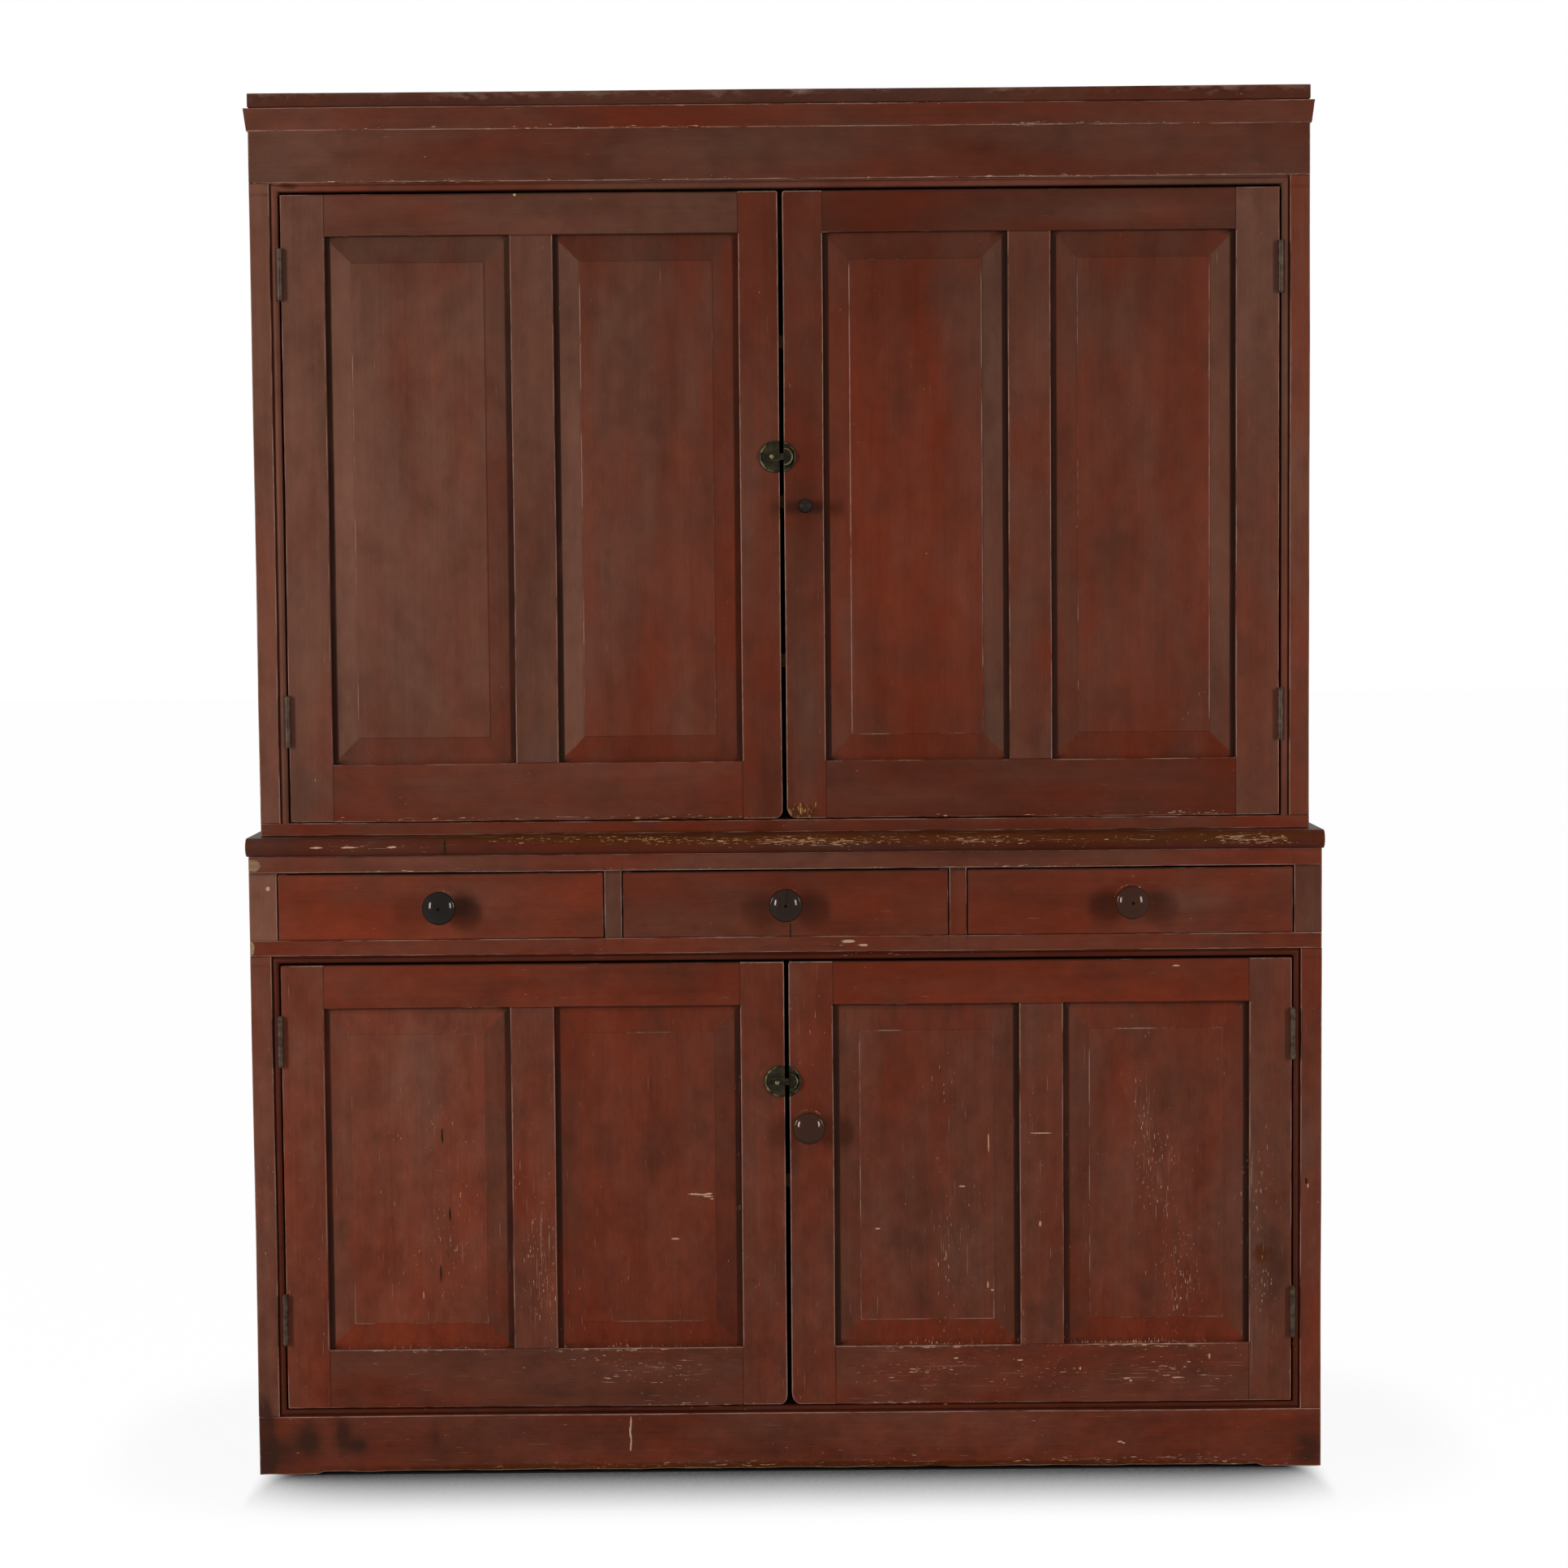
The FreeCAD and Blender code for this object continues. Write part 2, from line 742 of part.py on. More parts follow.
def lower_beads():
    """Strips round all four sides of the lower opening, mitred at the corners."""
    bead = S.lower_bead_width
    height = S.lower_opening_height
    width = lower_opening * 2
    left = set_strip(bead_strip(bead, height, True, True), 0, -lower_opening, face, base_top)
    right = set_strip(bead_strip(bead, height, True, True), 180, lower_opening, face, middle_rail_foot)
    head = set_strip(bead_strip(bead, width, True, True), 90, -lower_opening, face, middle_rail_foot)
    sill = set_strip(bead_strip(bead, width, True, True), -90, lower_opening, face, base_top)
    group("lower_opening_beads", gained(left, LEFT, LOWER), gained(right, RIGHT, LOWER), head, sill)


upper_beads()
lower_beads()


# Hinges

def knuckles(radius, side, case, level, numbers, gap):
    """Lengths of the hinge's barrel, counted from its foot."""
    pitch = S.hinge_length / KNUCKLES
    foot = level - S.hinge_length / 2
    x = across(side, case.hinge_line, case.hinge_line)[0]
    y = case.face - S.knuckle_stand_off
    return [rod(radius, x, y, shrunk((foot + pitch * n, foot + pitch * (n + 1)), gap / 2)) for n in numbers]


def hinge_leaf(side, case, level, of_door):
    """A cast leaf: its flat, its own knuckles, room for the other leaf's knuckles and a bore for the pin."""
    own = [n for n in range(KNUCKLES) if (n % 2 == 1) == of_door]
    other = [n for n in range(KNUCKLES) if n not in own]
    whole = fuse(
        hinge_plate(side, case, level, of_door),
        *knuckles(S.knuckle_radius, side, case, level, own, S.knuckle_end_gap),
    )
    room = knuckles(S.knuckle_radius + S.knuckle_relief, side, case, level, other, ZERO)
    bored = knuckles(S.pin_radius + S.pin_clearance, side, case, level, range(KNUCKLES), -S.overrun)
    return cut(whole, *room, *bored)


def hinge_pin(side, case, level):
    """A pin through the barrel, with a small head at each end."""
    x = across(side, case.hinge_line, case.hinge_line)[0]
    y = case.face - S.knuckle_stand_off
    shank = centred(level, S.hinge_length)
    heads = []
    for z, degrees in ((shank[1], 0), (shank[0], 180)):
        head = doc.addObject("Part::Cone", "PinHead")
        link(head, Radius1=S.pin_head_radius, Radius2=S.pin_radius, Height=S.pin_head_height)
        turn(head, (1, 0, 0), degrees)
        place(head, x, y, z)
        heads.append(head)
    return fuse(rod(S.pin_radius, x, y, shank), *heads)


hinge_places = [
    (side, case, level) for case in (UPPER, LOWER) for side in (LEFT, RIGHT) for level in case.hinge_levels
]
group("hinge_frame_leaves", *[hinge_leaf(side, case, level, False) for side, case, level in hinge_places])
group("hinge_pins", *[hinge_pin(side, case, level) for side, case, level in hinge_places])


# Doors

def panel(side, case, x, z):
    """A fielded panel: a tongue for the grooves, an even bevel and a field that steps up from it."""
    field_x = across(side, *shrunk(x, S.panel_bevel_width))
    field_z = shrunk(z, S.panel_bevel_width)
    groove_front = case.face + S.groove_setback
    field_front = case.face + case.field_setback
    bevel_top = field_front + case.field_step
    tongue = board(
        across(side, *grown(x, S.panel_tongue_length)),
        (groove_front, groove_front + S.groove_width),
        grown(z, S.panel_tongue_length),
    )
    bevel = tapered(field_x, field_z, across(side, *x), z, (bevel_top, groove_front))
    field = board(field_x, (field_front, bevel_top), field_z)
    return fuse(tongue, bevel, field)


def door(label, side, case, holes):
    """A framed door, tenoned at its corners, with two panels held in grooves on either side of a muntin."""
    thickness = (case.face, case.face + S.door_thickness)
    groove_front = case.face + S.groove_setback
    groove_y = (groove_front, groove_front + S.groove_width)
    tenon_y = (groove_front, groove_front + S.tenon_thickness)
    meeting = S.meeting_gap / 2 + case.meeting_stile
    hinge = case.outer - case.hinge_stile
    light = (hinge - meeting - case.muntin) / 2
    first = (meeting, meeting + light)
    middle = (first[1], first[1] + case.muntin)
    second = (middle[1], hinge)
    low = case.foot + case.foot_rail
    high = case.head - case.top_rail
    tenon_heights = (
        (case.foot + S.tenon_inset, low - S.groove_depth),
        (high + S.groove_depth, case.head - S.tenon_inset),
    )
    groove_height = (low - S.groove_depth, high + S.groove_depth)

    mortise_reach = S.tenon_length + S.mortise_clearance
    meeting_mortise = across(side, meeting - mortise_reach, meeting + S.overrun)
    hinge_mortise = across(side, hinge - S.overrun, hinge + mortise_reach)
    meeting_groove = across(side, meeting - S.groove_depth, meeting + S.overrun)
    hinge_groove = across(side, hinge - S.overrun, hinge + S.groove_depth)
    meeting_cuts = [board(meeting_mortise, tenon_y, z) for z in tenon_heights]
    meeting_cuts.append(board(meeting_groove, groove_y, groove_height))
    hinge_cuts = [board(hinge_mortise, tenon_y, z) for z in tenon_heights]
    hinge_cuts.append(board(hinge_groove, groove_y, groove_height))
    hinge_cuts += [hinge_plate(side, case, level, True) for level in case.hinge_levels]
    stile_height = (case.foot, case.head)
    meeting_stile = board(across(side, S.meeting_gap / 2, meeting), thickness, stile_height)
    hinge_stile = board(across(side, hinge, case.outer), thickness, stile_height)
    group(f"{label}_stiles", cut(meeting_stile, *meeting_cuts, *holes), cut(hinge_stile, *hinge_cuts))

    rails = []
    for height, tenon_z, grooved in (
        ((case.foot, low), tenon_heights[0], (low - S.groove_depth, low + S.overrun)),
        ((high, case.head), tenon_heights[1], (high - S.overrun, high + S.groove_depth)),
    ):
        span = across(side, meeting, hinge)
        tenons = board(grown(span, S.tenon_length), tenon_y, tenon_z)
        groove = board(grown(span, S.overrun), groove_y, grooved)
        rails.append(fuse(cut(board(span, thickness, height), groove), tenons))
    tongues = board(across(side, *middle), groove_y, groove_height)
    muntin = fuse(board(across(side, *middle), thickness, (low, high)), tongues)
    edges = (
        across(side, middle[0] - S.overrun, middle[0] + S.groove_depth),
        across(side, middle[1] - S.groove_depth, middle[1] + S.overrun),
    )
    rails.append(cut(muntin, *[board(edge, groove_y, grown(groove_height, S.overrun)) for edge in edges]))
    group(f"{label}_rails", *rails)

    group(f"{label}_panels", *[panel(side, case, x, (low, high)) for x in (first, second)])
    group(f"{label}_hinge_leaves", *[hinge_leaf(side, case, level, True) for level in case.hinge_levels])


def through(front, thickness):
    """The span of a hole right through a board that starts at front."""
    return grown((front, front + thickness), S.overrun)


peg_x = S.meeting_gap / 2 + S.peg_inset
peg_z = UPPER.foot + S.peg_rise
peg_hole_radius = S.peg_dowel_radius + S.dowel_clearance
peg_hole = bore(peg_hole_radius, peg_x, through(upper_face, S.door_thickness), peg_z)
door_knob_x = S.meeting_gap / 2 + S.door_knob_inset
door_knob_z = LOWER.foot + S.door_knob_rise
knob_hole_radius = S.knob_dowel_radius + S.dowel_clearance
door_knob_hole = bore(knob_hole_radius, door_knob_x, through(face, S.door_thickness), door_knob_z)
door("upper_left_door", LEFT, UPPER, [])
door("upper_right_door", RIGHT, UPPER, [peg_hole])
door("lower_left_door", LEFT, LOWER, [])
door("lower_right_door", RIGHT, LOWER, [door_knob_hole])


# Cupboard catches

def catch(label, front, level):
    """A round catch split at the joint of the doors: a plate with a cased bolt, and a keeper with a socket."""
    edge = S.meeting_gap / 2
    plate_y = (front - S.catch_plate_thickness, front)
    bolt_y = (plate_y[0] - S.bolt_clearance - S.bolt_thickness, plate_y[0] - S.bolt_clearance)
    tunnel_y = grown(bolt_y, S.bolt_clearance)
    case_y = (tunnel_y[0] - S.catch_case_wall, tunnel_y[1])
    bolt_z = centred(level, S.bolt_height)
    tunnel_z = grown(bolt_z, S.bolt_clearance)
    case_z = grown(tunnel_z, S.catch_case_wall)
    far = S.catch_radius * 2
    all_z = centred(level, far * 2)
    head_radius = S.catch_radius - S.catch_plate_bevel

    left_disc = disc(S.catch_radius, head_radius, -edge - S.catch_split, plate_y, level)
    left_plate = common(left_disc, board((-far, -edge), grown(plate_y, S.overrun), all_z))
    case_start = -edge - S.catch_case_length
    tunnel_x = (case_start + S.catch_case_wall, -edge + S.overrun)
    slot_z = centred(level, (S.bolt_stud_radius + S.bolt_clearance) * 2)
    slot = board(tunnel_x, (case_y[0] - S.overrun, tunnel_y[1]), slot_z)
    case = board((case_start, -edge), case_y, case_z)
    node(f"{label}_plate", fuse(left_plate, cut(case, board(tunnel_x, tunnel_y, tunnel_z), slot)))

    nose = edge - S.bolt_nose_gap
    bar = board((nose - S.bolt_length, nose), bolt_y, bolt_z)
    stud_y = (bolt_y[0] - S.bolt_stud_height, bolt_y[0])
    stud = bore(S.bolt_stud_radius, nose - S.bolt_stud_setback, stud_y, level)
    group(f"{label}_bolt", bar, stud)

    right_disc = disc(S.catch_radius, head_radius, edge - S.catch_split, plate_y, level)
    right_boss = disc(S.keeper_case_radius, S.keeper_case_radius - S.catch_case_wall, edge, case_y, level)
    keeper = common(fuse(right_disc, right_boss), board((edge, far), grown(case_y, far), all_z))
    socket_x = (edge - S.overrun, edge + S.keeper_case_radius - S.catch_case_wall)
    node(f"{label}_keeper", cut(keeper, board(socket_x, tunnel_y, tunnel_z)))


catch("upper_catch", upper_face, upper_catch_level)
catch("lower_catch", face, lower_catch_level)


# Knobs and peg

def knob(label, radius, projection, dowel_length, with_eye):
    """A turned knob: dowel, collar, coved neck, round rim and low dome, with or without an eye in its middle."""
    collar = radius * COLLAR_RADIUS_SHARE
    collar_y = -projection * COLLAR_HEIGHT_SHARE
    underside = (radius * UNDERSIDE_RADIUS_SHARE, -projection * UNDERSIDE_HEIGHT_SHARE)
    corners = [
        (ZERO, dowel_length),
        (S.knob_dowel_radius, dowel_length),
        (S.knob_dowel_radius, ZERO),
        (collar, ZERO),
        (collar, collar_y),
        (*underside, projection * COVE_RADIUS_SHARE, True),
        (radius, -projection * RIM_HEIGHT_SHARE, radius * RIM_ARC_SHARE, False),
    ]
    if with_eye:
        corners.append((S.knob_eye_radius, -projection, radius * DOME_ARC_SHARE, False))
        corners.append((S.knob_eye_radius, S.knob_eye_depth - projection))
        corners.append((ZERO, S.knob_eye_depth - projection))
    else:
        corners.append((ZERO, -projection, radius * DOME_ARC_SHARE, False))
    return node(label, turned(corners))


def peg():
    """A small plain peg, waisted at the door and dished on its end."""
    neck = S.peg_radius * PEG_NECK_SHARE
    middle = -S.peg_projection / 2
    corners = [
        (ZERO, S.door_thickness),
        (S.peg_dowel_radius, S.door_thickness),
        (S.peg_dowel_radius, ZERO),
        (S.peg_radius, ZERO),
        (neck, middle, S.peg_projection, True),
        (S.peg_radius, -S.peg_projection, S.peg_projection, True),
        (neck, -S.peg_projection),
        (ZERO, S.peg_dish_depth - S.peg_projection),
    ]
    return node("upper_door_peg", turned(corners))


place(peg(), peg_x, upper_face, peg_z)
door_knob = knob("lower_door_knob", S.door_knob_radius, S.door_knob_projection, S.door_thickness, False)
place(door_knob, door_knob_x, face, door_knob_z)


# Drawers

def tails(x, z):
    """The dovetails on the front end of a drawer side, flared towards the lap in the drawer front."""
    pitch = (z[1] - z[0]) / TAILS
    y = (face + S.dovetail_lap, face + S.drawer_front_thickness)
    made = []
    for number in range(TAILS):
        root = centred(z[0] + pitch * (number + 0.5), pitch * S.dovetail_root_share)
        made.append(tapered(x, grown(root, S.dovetail_flare), x, root, y))
    return made


def drawer(label, number):
    """An inset drawer, lap-dovetailed at the front, with its back housed and its bottom slid in from behind."""
    middle = drawer_pitch * number
    x = shrunk(centred(middle, drawer_opening), S.drawer_side_gap)
    z = (drawer_floor + S.drawer_foot_gap, drawer_head - S.drawer_head_gap)
    front_back = face + S.drawer_front_thickness
    end = back_inside - S.drawer_end_gap
    bottom_z = (z[0] + S.drawer_groove_rise, z[0] + S.drawer_groove_rise + S.drawer_bottom_thickness)
    inside = shrunk(x, S.drawer_side_thickness)
    bottom_x = grown(inside, S.drawer_groove_depth)
    bottom_start = front_back - S.drawer_groove_depth
    back_y = (end - S.drawer_back_inset - S.drawer_side_thickness, end - S.drawer_back_inset)
    back_x = grown(inside, S.drawer_housing_depth)
    side_spans = ((x[0], inside[0]), (inside[1], x[1]))
    knob_z = (z[0] + z[1]) / 2

    sockets = [tail for span in side_spans for tail in tails(span, z)]
    groove = board(bottom_x, (bottom_start, front_back + S.overrun), bottom_z)
    hole = bore(knob_hole_radius, middle, through(face, S.drawer_front_thickness), knob_z)
    node(f"{label}_front", cut(board(x, (face, front_back), z), *sockets, groove, hole))

    sides = []
    for span in side_spans:
        blank = fuse(board(span, (front_back, end), z), *tails(span, z))
        bottom_groove = board(bottom_x, (face, end + S.overrun), bottom_z)
        housing = board(back_x, back_y, (bottom_z[1], z[1] + S.overrun))
        sides.append(cut(blank, bottom_groove, housing))
    bottom = board(bottom_x, (bottom_start, end), bottom_z)
    drawer_back = board(back_x, back_y, (bottom_z[1], z[1]))
    group(f"{label}_box", *sides, drawer_back, bottom)

    made = knob(f"{label}_knob", S.drawer_knob_radius, S.drawer_knob_projection, S.drawer_front_thickness, True)
    place(made, middle, face, knob_z)


for number, label in ((-1, "left_drawer"), (0, "middle_drawer"), (1, "right_drawer")):
    drawer(label, number)


def runner_spans():
    """The width of each runner: its upright, and a lip on each side where a drawer runs."""
    inner = lower_half - S.side_thickness
    ends = [across(side, lower_half - S.drawer_end_width - S.runner_lip, inner) for side in (LEFT, RIGHT)]
    return ends + [grown(span, S.runner_lip) for span in divider_spans]


def guide_spans():
    """The width of each guide, in line with its upright."""
    inner = lower_half - S.side_thickness
    return [across(side, lower_half - S.drawer_end_width, inner) for side in (LEFT, RIGHT)] + divider_spans


run_y = (lower_front, back_inside)
runners = []
for wide, narrow in zip(runner_spans(), guide_spans()):
    runner = board(wide, run_y, (drawer_floor - S.runner_thickness, drawer_floor))
    guide = board(narrow, run_y, (drawer_floor, drawer_floor + S.guide_height))
    runners += [runner, guide]
group("drawer_runners", *runners)
group("drawer_kickers", *[board(wide, run_y, (drawer_head, waist_foot)) for wide in runner_spans()])


# Tests and files

doc.recompute()
for made in doc.Objects:
    if "Invalid" in made.State or "Error" in made.State:
        raise RuntimeError(f"{made.Name} ({made.Label}) failed: {made.State}")
os.makedirs("parts", exist_ok=True)
for label, made in NODES.items():
    if made.Shape.isNull() or not made.Shape.isValid() or not made.Shape.Solids:
        raise RuntimeError(f"{label} has no valid shape")
for label, made in NODES.items():
    made.Shape.exportStep(f"parts/{label}.step")
print(len(NODES), "sub-parts,", sum(len(made.Shape.Solids) for made in NODES.values()), "solids")
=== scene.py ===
"""Looks of a painted pine linen press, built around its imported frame.

Lengths in the code are millimetres, and a mesh is turned to metres when it is made. The front faces -Y
and Z is up.
"""

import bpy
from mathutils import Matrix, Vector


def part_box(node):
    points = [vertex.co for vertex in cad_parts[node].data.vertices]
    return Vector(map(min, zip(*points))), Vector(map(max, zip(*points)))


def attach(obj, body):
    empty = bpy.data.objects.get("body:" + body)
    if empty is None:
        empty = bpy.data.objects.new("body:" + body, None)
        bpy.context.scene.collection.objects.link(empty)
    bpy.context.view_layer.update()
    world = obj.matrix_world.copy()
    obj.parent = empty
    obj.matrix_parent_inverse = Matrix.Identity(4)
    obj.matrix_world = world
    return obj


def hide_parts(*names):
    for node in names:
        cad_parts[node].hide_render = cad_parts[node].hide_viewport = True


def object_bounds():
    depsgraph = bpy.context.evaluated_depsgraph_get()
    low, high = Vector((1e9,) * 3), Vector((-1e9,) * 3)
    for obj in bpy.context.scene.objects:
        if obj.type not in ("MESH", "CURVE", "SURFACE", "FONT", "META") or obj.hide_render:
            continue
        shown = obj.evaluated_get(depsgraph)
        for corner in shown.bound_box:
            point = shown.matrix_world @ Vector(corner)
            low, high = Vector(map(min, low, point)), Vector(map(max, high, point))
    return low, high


bl_info = {
    "name": "Linen Press",
    "version": (1, 0, 0),
    "blender": (4, 5, 0),
    "location": "3D View > Sidebar > Linen Press",
    "description": "Paint, wear, turned knobs and ironwork for a pine linen press",
    "category": "Object",
}

import math
import zlib

import bpy
import numpy as np
from mathutils import Matrix, Vector

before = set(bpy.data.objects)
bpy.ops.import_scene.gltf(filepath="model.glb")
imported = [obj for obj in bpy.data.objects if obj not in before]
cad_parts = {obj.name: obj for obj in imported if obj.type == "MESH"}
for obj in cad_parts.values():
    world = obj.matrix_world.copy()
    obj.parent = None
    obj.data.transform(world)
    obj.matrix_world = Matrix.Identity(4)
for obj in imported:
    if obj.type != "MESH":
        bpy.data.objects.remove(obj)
CAD_BOX = [list(corner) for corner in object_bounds()]

MM = 0.001
X, Y, Z = 0, 1, 2
DOORS = ("upper_left_door", "upper_right_door", "lower_left_door", "lower_right_door")
DRAWERS = ("left_drawer", "middle_drawer", "right_drawer")


# Sizes and colours that a user would change

def linear(hex_colour):
    """The linear RGB of an sRGB hex colour."""
    levels = np.array([int(hex_colour[start:start + 2], 16) for start in (1, 3, 5)]) / 255
    values = np.where(levels <= 0.04045, levels / 12.92, ((levels + 0.055) / 1.055) ** 2.4)
    return tuple(values.tolist())


def length(name, description, millimetres):
    """A property that holds a length."""
    return bpy.props.FloatProperty(
        name=name, description=description, default=millimetres * MM, unit="LENGTH", precision=5
    )


def colour(name, description, hex_colour):
    """A property that holds a colour."""
    return bpy.props.FloatVectorProperty(
        name=name, description=description, default=linear(hex_colour), subtype="COLOR", min=0, max=1
    )


class PressSizes(bpy.types.PropertyGroup):
    """Small sizes that the frame doesn't give."""

    arris: length("Arris", "Rounding that use has left on the edges of boards", 1.4)
    joint: length("Joint", "Rounding along a joint line, where two boards meet", 0.35)
    grid: length("Grid", "Spacing of the points on a flat face", 24)
    bow: length("Bow", "How far a hand-planed board wanders from straight", 0.35)
    bevel: length("Panel bevel", "Width of the bevel round a fielded panel", 39.5)
    tongue: length("Panel tongue", "Depth of a panel in the grooves of its door", 8)
    groove_setback: length("Groove setback", "Depth of the groove behind the face of a door", 9)
    upper_strip: length("Upper strip", "Width of the beaded strip round the upper doors", 13)
    lower_strip: length("Lower strip", "Width of the beaded strip round the lower doors", 11)
    quirk: length("Quirk", "Width of the sunk line beside a bead", 2.5)
    quirk_depth: length("Quirk depth", "Depth of the sunk line beside a bead", 5)
    nose_depth: length("Nose depth", "Depth of the round nose along the waist board", 9)
    cap_chamfer: length("Cap chamfer", "Chamfer under the front and ends of the cap board", 2.2)
    cornice_foot: length("Cornice foot", "Overhang of the cornice at its foot", 2)
    relief: length("Base relief", "Hollow along the floor between the two feet", 4)
    foot_width: length("Foot width", "Width of the foot at each end of the base", 86)
    drawer_side: length("Drawer side", "Thickness of the sides of a drawer", 12)
    lap: length("Dovetail lap", "Wood left in front of the drawer dovetails", 6)
    flare: length("Dovetail flare", "Spread of a dovetail on each side", 2.5)
    catch_plate: length("Catch plate", "Thickness of the round plates of a catch", 2.4)
    keeper_lip: length("Keeper lip", "Radius of the lip round the hollow of a keeper", 12.2)
    leaf_gap: length("Leaf gap", "Space between the leaves of a shut hinge", 0.4)
    upper_step: length("Upper step", "Step round the field of an upper panel", 1.5)
    lower_step: length("Lower step", "Step round the field of a lower panel", 1.0)
    peg_swell: length("Peg swell", "Radius of the peg past that of the CAD model", 1.4)
    back_edge: length("Back edge", "Rounding of the long edges of the back boards", 3.0)


class PressColours(bpy.types.PropertyGroup):
    """Colours of the finishes."""

    red: colour("Red", "Oxide red where the paint is full", "#6A2A18")
    brown: colour("Brown", "Paint that hands and smoke have browned", "#634134")
    plum: colour("Plum", "Paint that has darkened towards purple", "#4C2A1F")
    # This colour also paints shade: the shadows in the panel grooves, in the gaps and beside the knobs, the
    # peg and the catches, and under the cap, the head rails and the upper case
    grime_and_shade: colour("Grime", "Dirt in corners and round the hardware", "#2B1A14")
    # This colour also paints the shadow line at the step along the foot and the head of each panel field
    crack: colour("Crack", "Dark in an open crack", "#15140E")
    rubbed: colour("Rubbed", "Thin paint on a rubbed edge", "#AE8878")
    # This colour also paints the glints of the lamps on rounded edges: painted highlights together with the
    # wear
    chip: colour("Chip", "Wood and ground that show where paint has flaked", "#C4A083")
    varnish: colour("Varnish", "Old brown varnish on handled wood", "#4A230A")
    tan: colour("Tan", "Wood that shows through the varnish", "#B98A55")
    bared: colour("Bared wood", "Dirty wood in a break of the paint", "#A0846A")
    pine_light: colour("Pale pine", "Early wood of bare pine", "#A97B4D")
    pine_dark: colour("Dark pine", "Late wood of bare pine", "#7A5230")
    iron_dark: colour("Dark iron", "Browned cast iron", "#1C180B")
    iron_light: colour("Rubbed iron", "Iron that is worn by fingers", "#352D17")
    # The bright iron also paints the glints of the lamps on the crests of the catches: painted highlights
    iron_bright_and_glint: colour("Bright iron", "Crests that fingers keep bright", "#8E8764")
    hinge_dark: colour("Dark hinge", "Hinge iron under old paint", "#3A2A22")
    hinge_light: colour("Rubbed hinge", "Hinge iron where the paint has gone", "#584838")
    knob_black: colour("Black knob", "Wood under a nearly black finish", "#0B0A09")
    knob_brown: colour("Brown knob", "Wood under a brown finish", "#3F1C0C")


class PressStage(bpy.types.PropertyGroup):
    """Camera and lamps of a plain studio."""

    lens: bpy.props.FloatProperty(name="Lens", description="Focal length", default=76.3, unit="CAMERA")
    eye: bpy.props.FloatVectorProperty(
        name="Eye", description="Place of the camera", default=(-0.0008, -5.209, 1.381), subtype="TRANSLATION"
    )
    pitch: bpy.props.FloatProperty(
        name="Pitch", description="Turn of the view below level", default=math.radians(3.78), subtype="ANGLE"
    )
    roll: bpy.props.FloatProperty(
        name="Roll", description="Turn of the picture", default=math.radians(0.49), subtype="ANGLE"
    )
    key_power: bpy.props.FloatProperty(
        name="Key power", description="Power of the lamp at the left", default=158, unit="POWER"
    )
    fill_power: bpy.props.FloatProperty(
        name="Fill power", description="Power of the lamp at the right", default=126, unit="POWER"
    )
    sky: bpy.props.FloatProperty(
        name="Sky", description="Even light from all round", default=0.036, min=0
    )


def size(name):
    """A small size in millimetres."""
    return getattr(bpy.context.scene.press_sizes, name) / MM


def shade(name):
    """A colour of the finishes, with alpha."""
    return (*getattr(bpy.context.scene.press_colours, name), 1)


# Places on the frame

def box(node):
    """The lowest and highest corners of a CAD node."""
    low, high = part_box(node)
    return np.array(low) / MM, np.array(high) / MM


def solids(node):
    """The boxes of the separate solids of a CAD node, from left to right and from foot to head.

    Points in one place count as one, and triangles hand on the least number among their corners until
    it settles.
    """
    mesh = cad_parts[node].data
    points = np.empty(len(mesh.vertices) * 3, np.float32)
    mesh.vertices.foreach_get("co", points)
    corners = np.empty(len(mesh.loops), np.int32)
    mesh.loops.foreach_get("vertex_index", corners)
    places, merged = np.unique(np.round(points.reshape(-1, 3) / MM, 2), axis=0, return_inverse=True)
    triangles = merged.ravel()[corners].reshape(-1, 3)
    labels = np.arange(len(places))
    settled = False
    while not settled:
        handed = labels.copy()
        np.minimum.at(handed, triangles, labels[triangles].min(axis=1)[:, None])
        settled = (handed == labels).all()
        labels = handed
    groups = [places[labels == label] for label in np.unique(labels)]
    boxes = [(group.min(axis=0), group.max(axis=0)) for group in groups]
    return sorted(boxes, key=lambda ends: (round(ends[0][X]), round(ends[0][Z])))


# Surfaces

class Surface:
    """A mesh in the making: points, faces as lists of point numbers, and values that the points carry."""

    def __init__(self, points, faces, **values):
        self.points = points
        self.faces = faces
        self.values = values


def joined(surfaces):
    """One surface made of several, with the same values."""
    starts = np.cumsum([0] + [len(surface.points) for surface in surfaces])
    faces = []
    for surface, start in zip(surfaces, starts):
        faces += [[corner + start for corner in face] for face in surface.faces]
    values = {}
    for key in surfaces[0].values:
        values[key] = np.concatenate([surface.values[key] for surface in surfaces])
    return Surface(np.concatenate([surface.points for surface in surfaces]), faces, **values)


def grid_faces(rows, columns, start=0):
    """Quads of a grid whose points are numbered row by row."""
    first = start + np.arange(rows - 1)[:, None] * columns + np.arange(columns - 1)
    return np.stack([first, first + columns, first + columns + 1, first + 1], axis=-1).reshape(-1, 4)


def outward(points, faces):
    """Faces turned to point out of a closed surface: the sum of the volumes under them has to be
    positive."""
    triangles = []
    for face in faces:
        triangles += [(face[0], *pair) for pair in zip(face[1:], face[2:])]
    triangles = np.array(triangles)
    a, b, c = (points[triangles[:, corner]] for corner in range(3))
    volume = np.einsum("ij,ij->i", a, np.cross(b, c)).sum()
    return faces if volume > 0 else [face[::-1] for face in faces]


def closed(points, quads, others=()):
    """Points merged where they meet, and the faces that are left, turned outward. Returns which points
    were kept."""
    _, kept, merged = np.unique(np.round(points, 3), axis=0, return_index=True, return_inverse=True)
    merged = merged.ravel()
    faces = [list(dict.fromkeys(face)) for face in merged[quads].tolist()]
    faces += [list(dict.fromkeys(merged[list(face)].tolist())) for face in others]
    faces = [face for face in faces if len(face) > 2]
    return kept, outward(points[kept], faces)


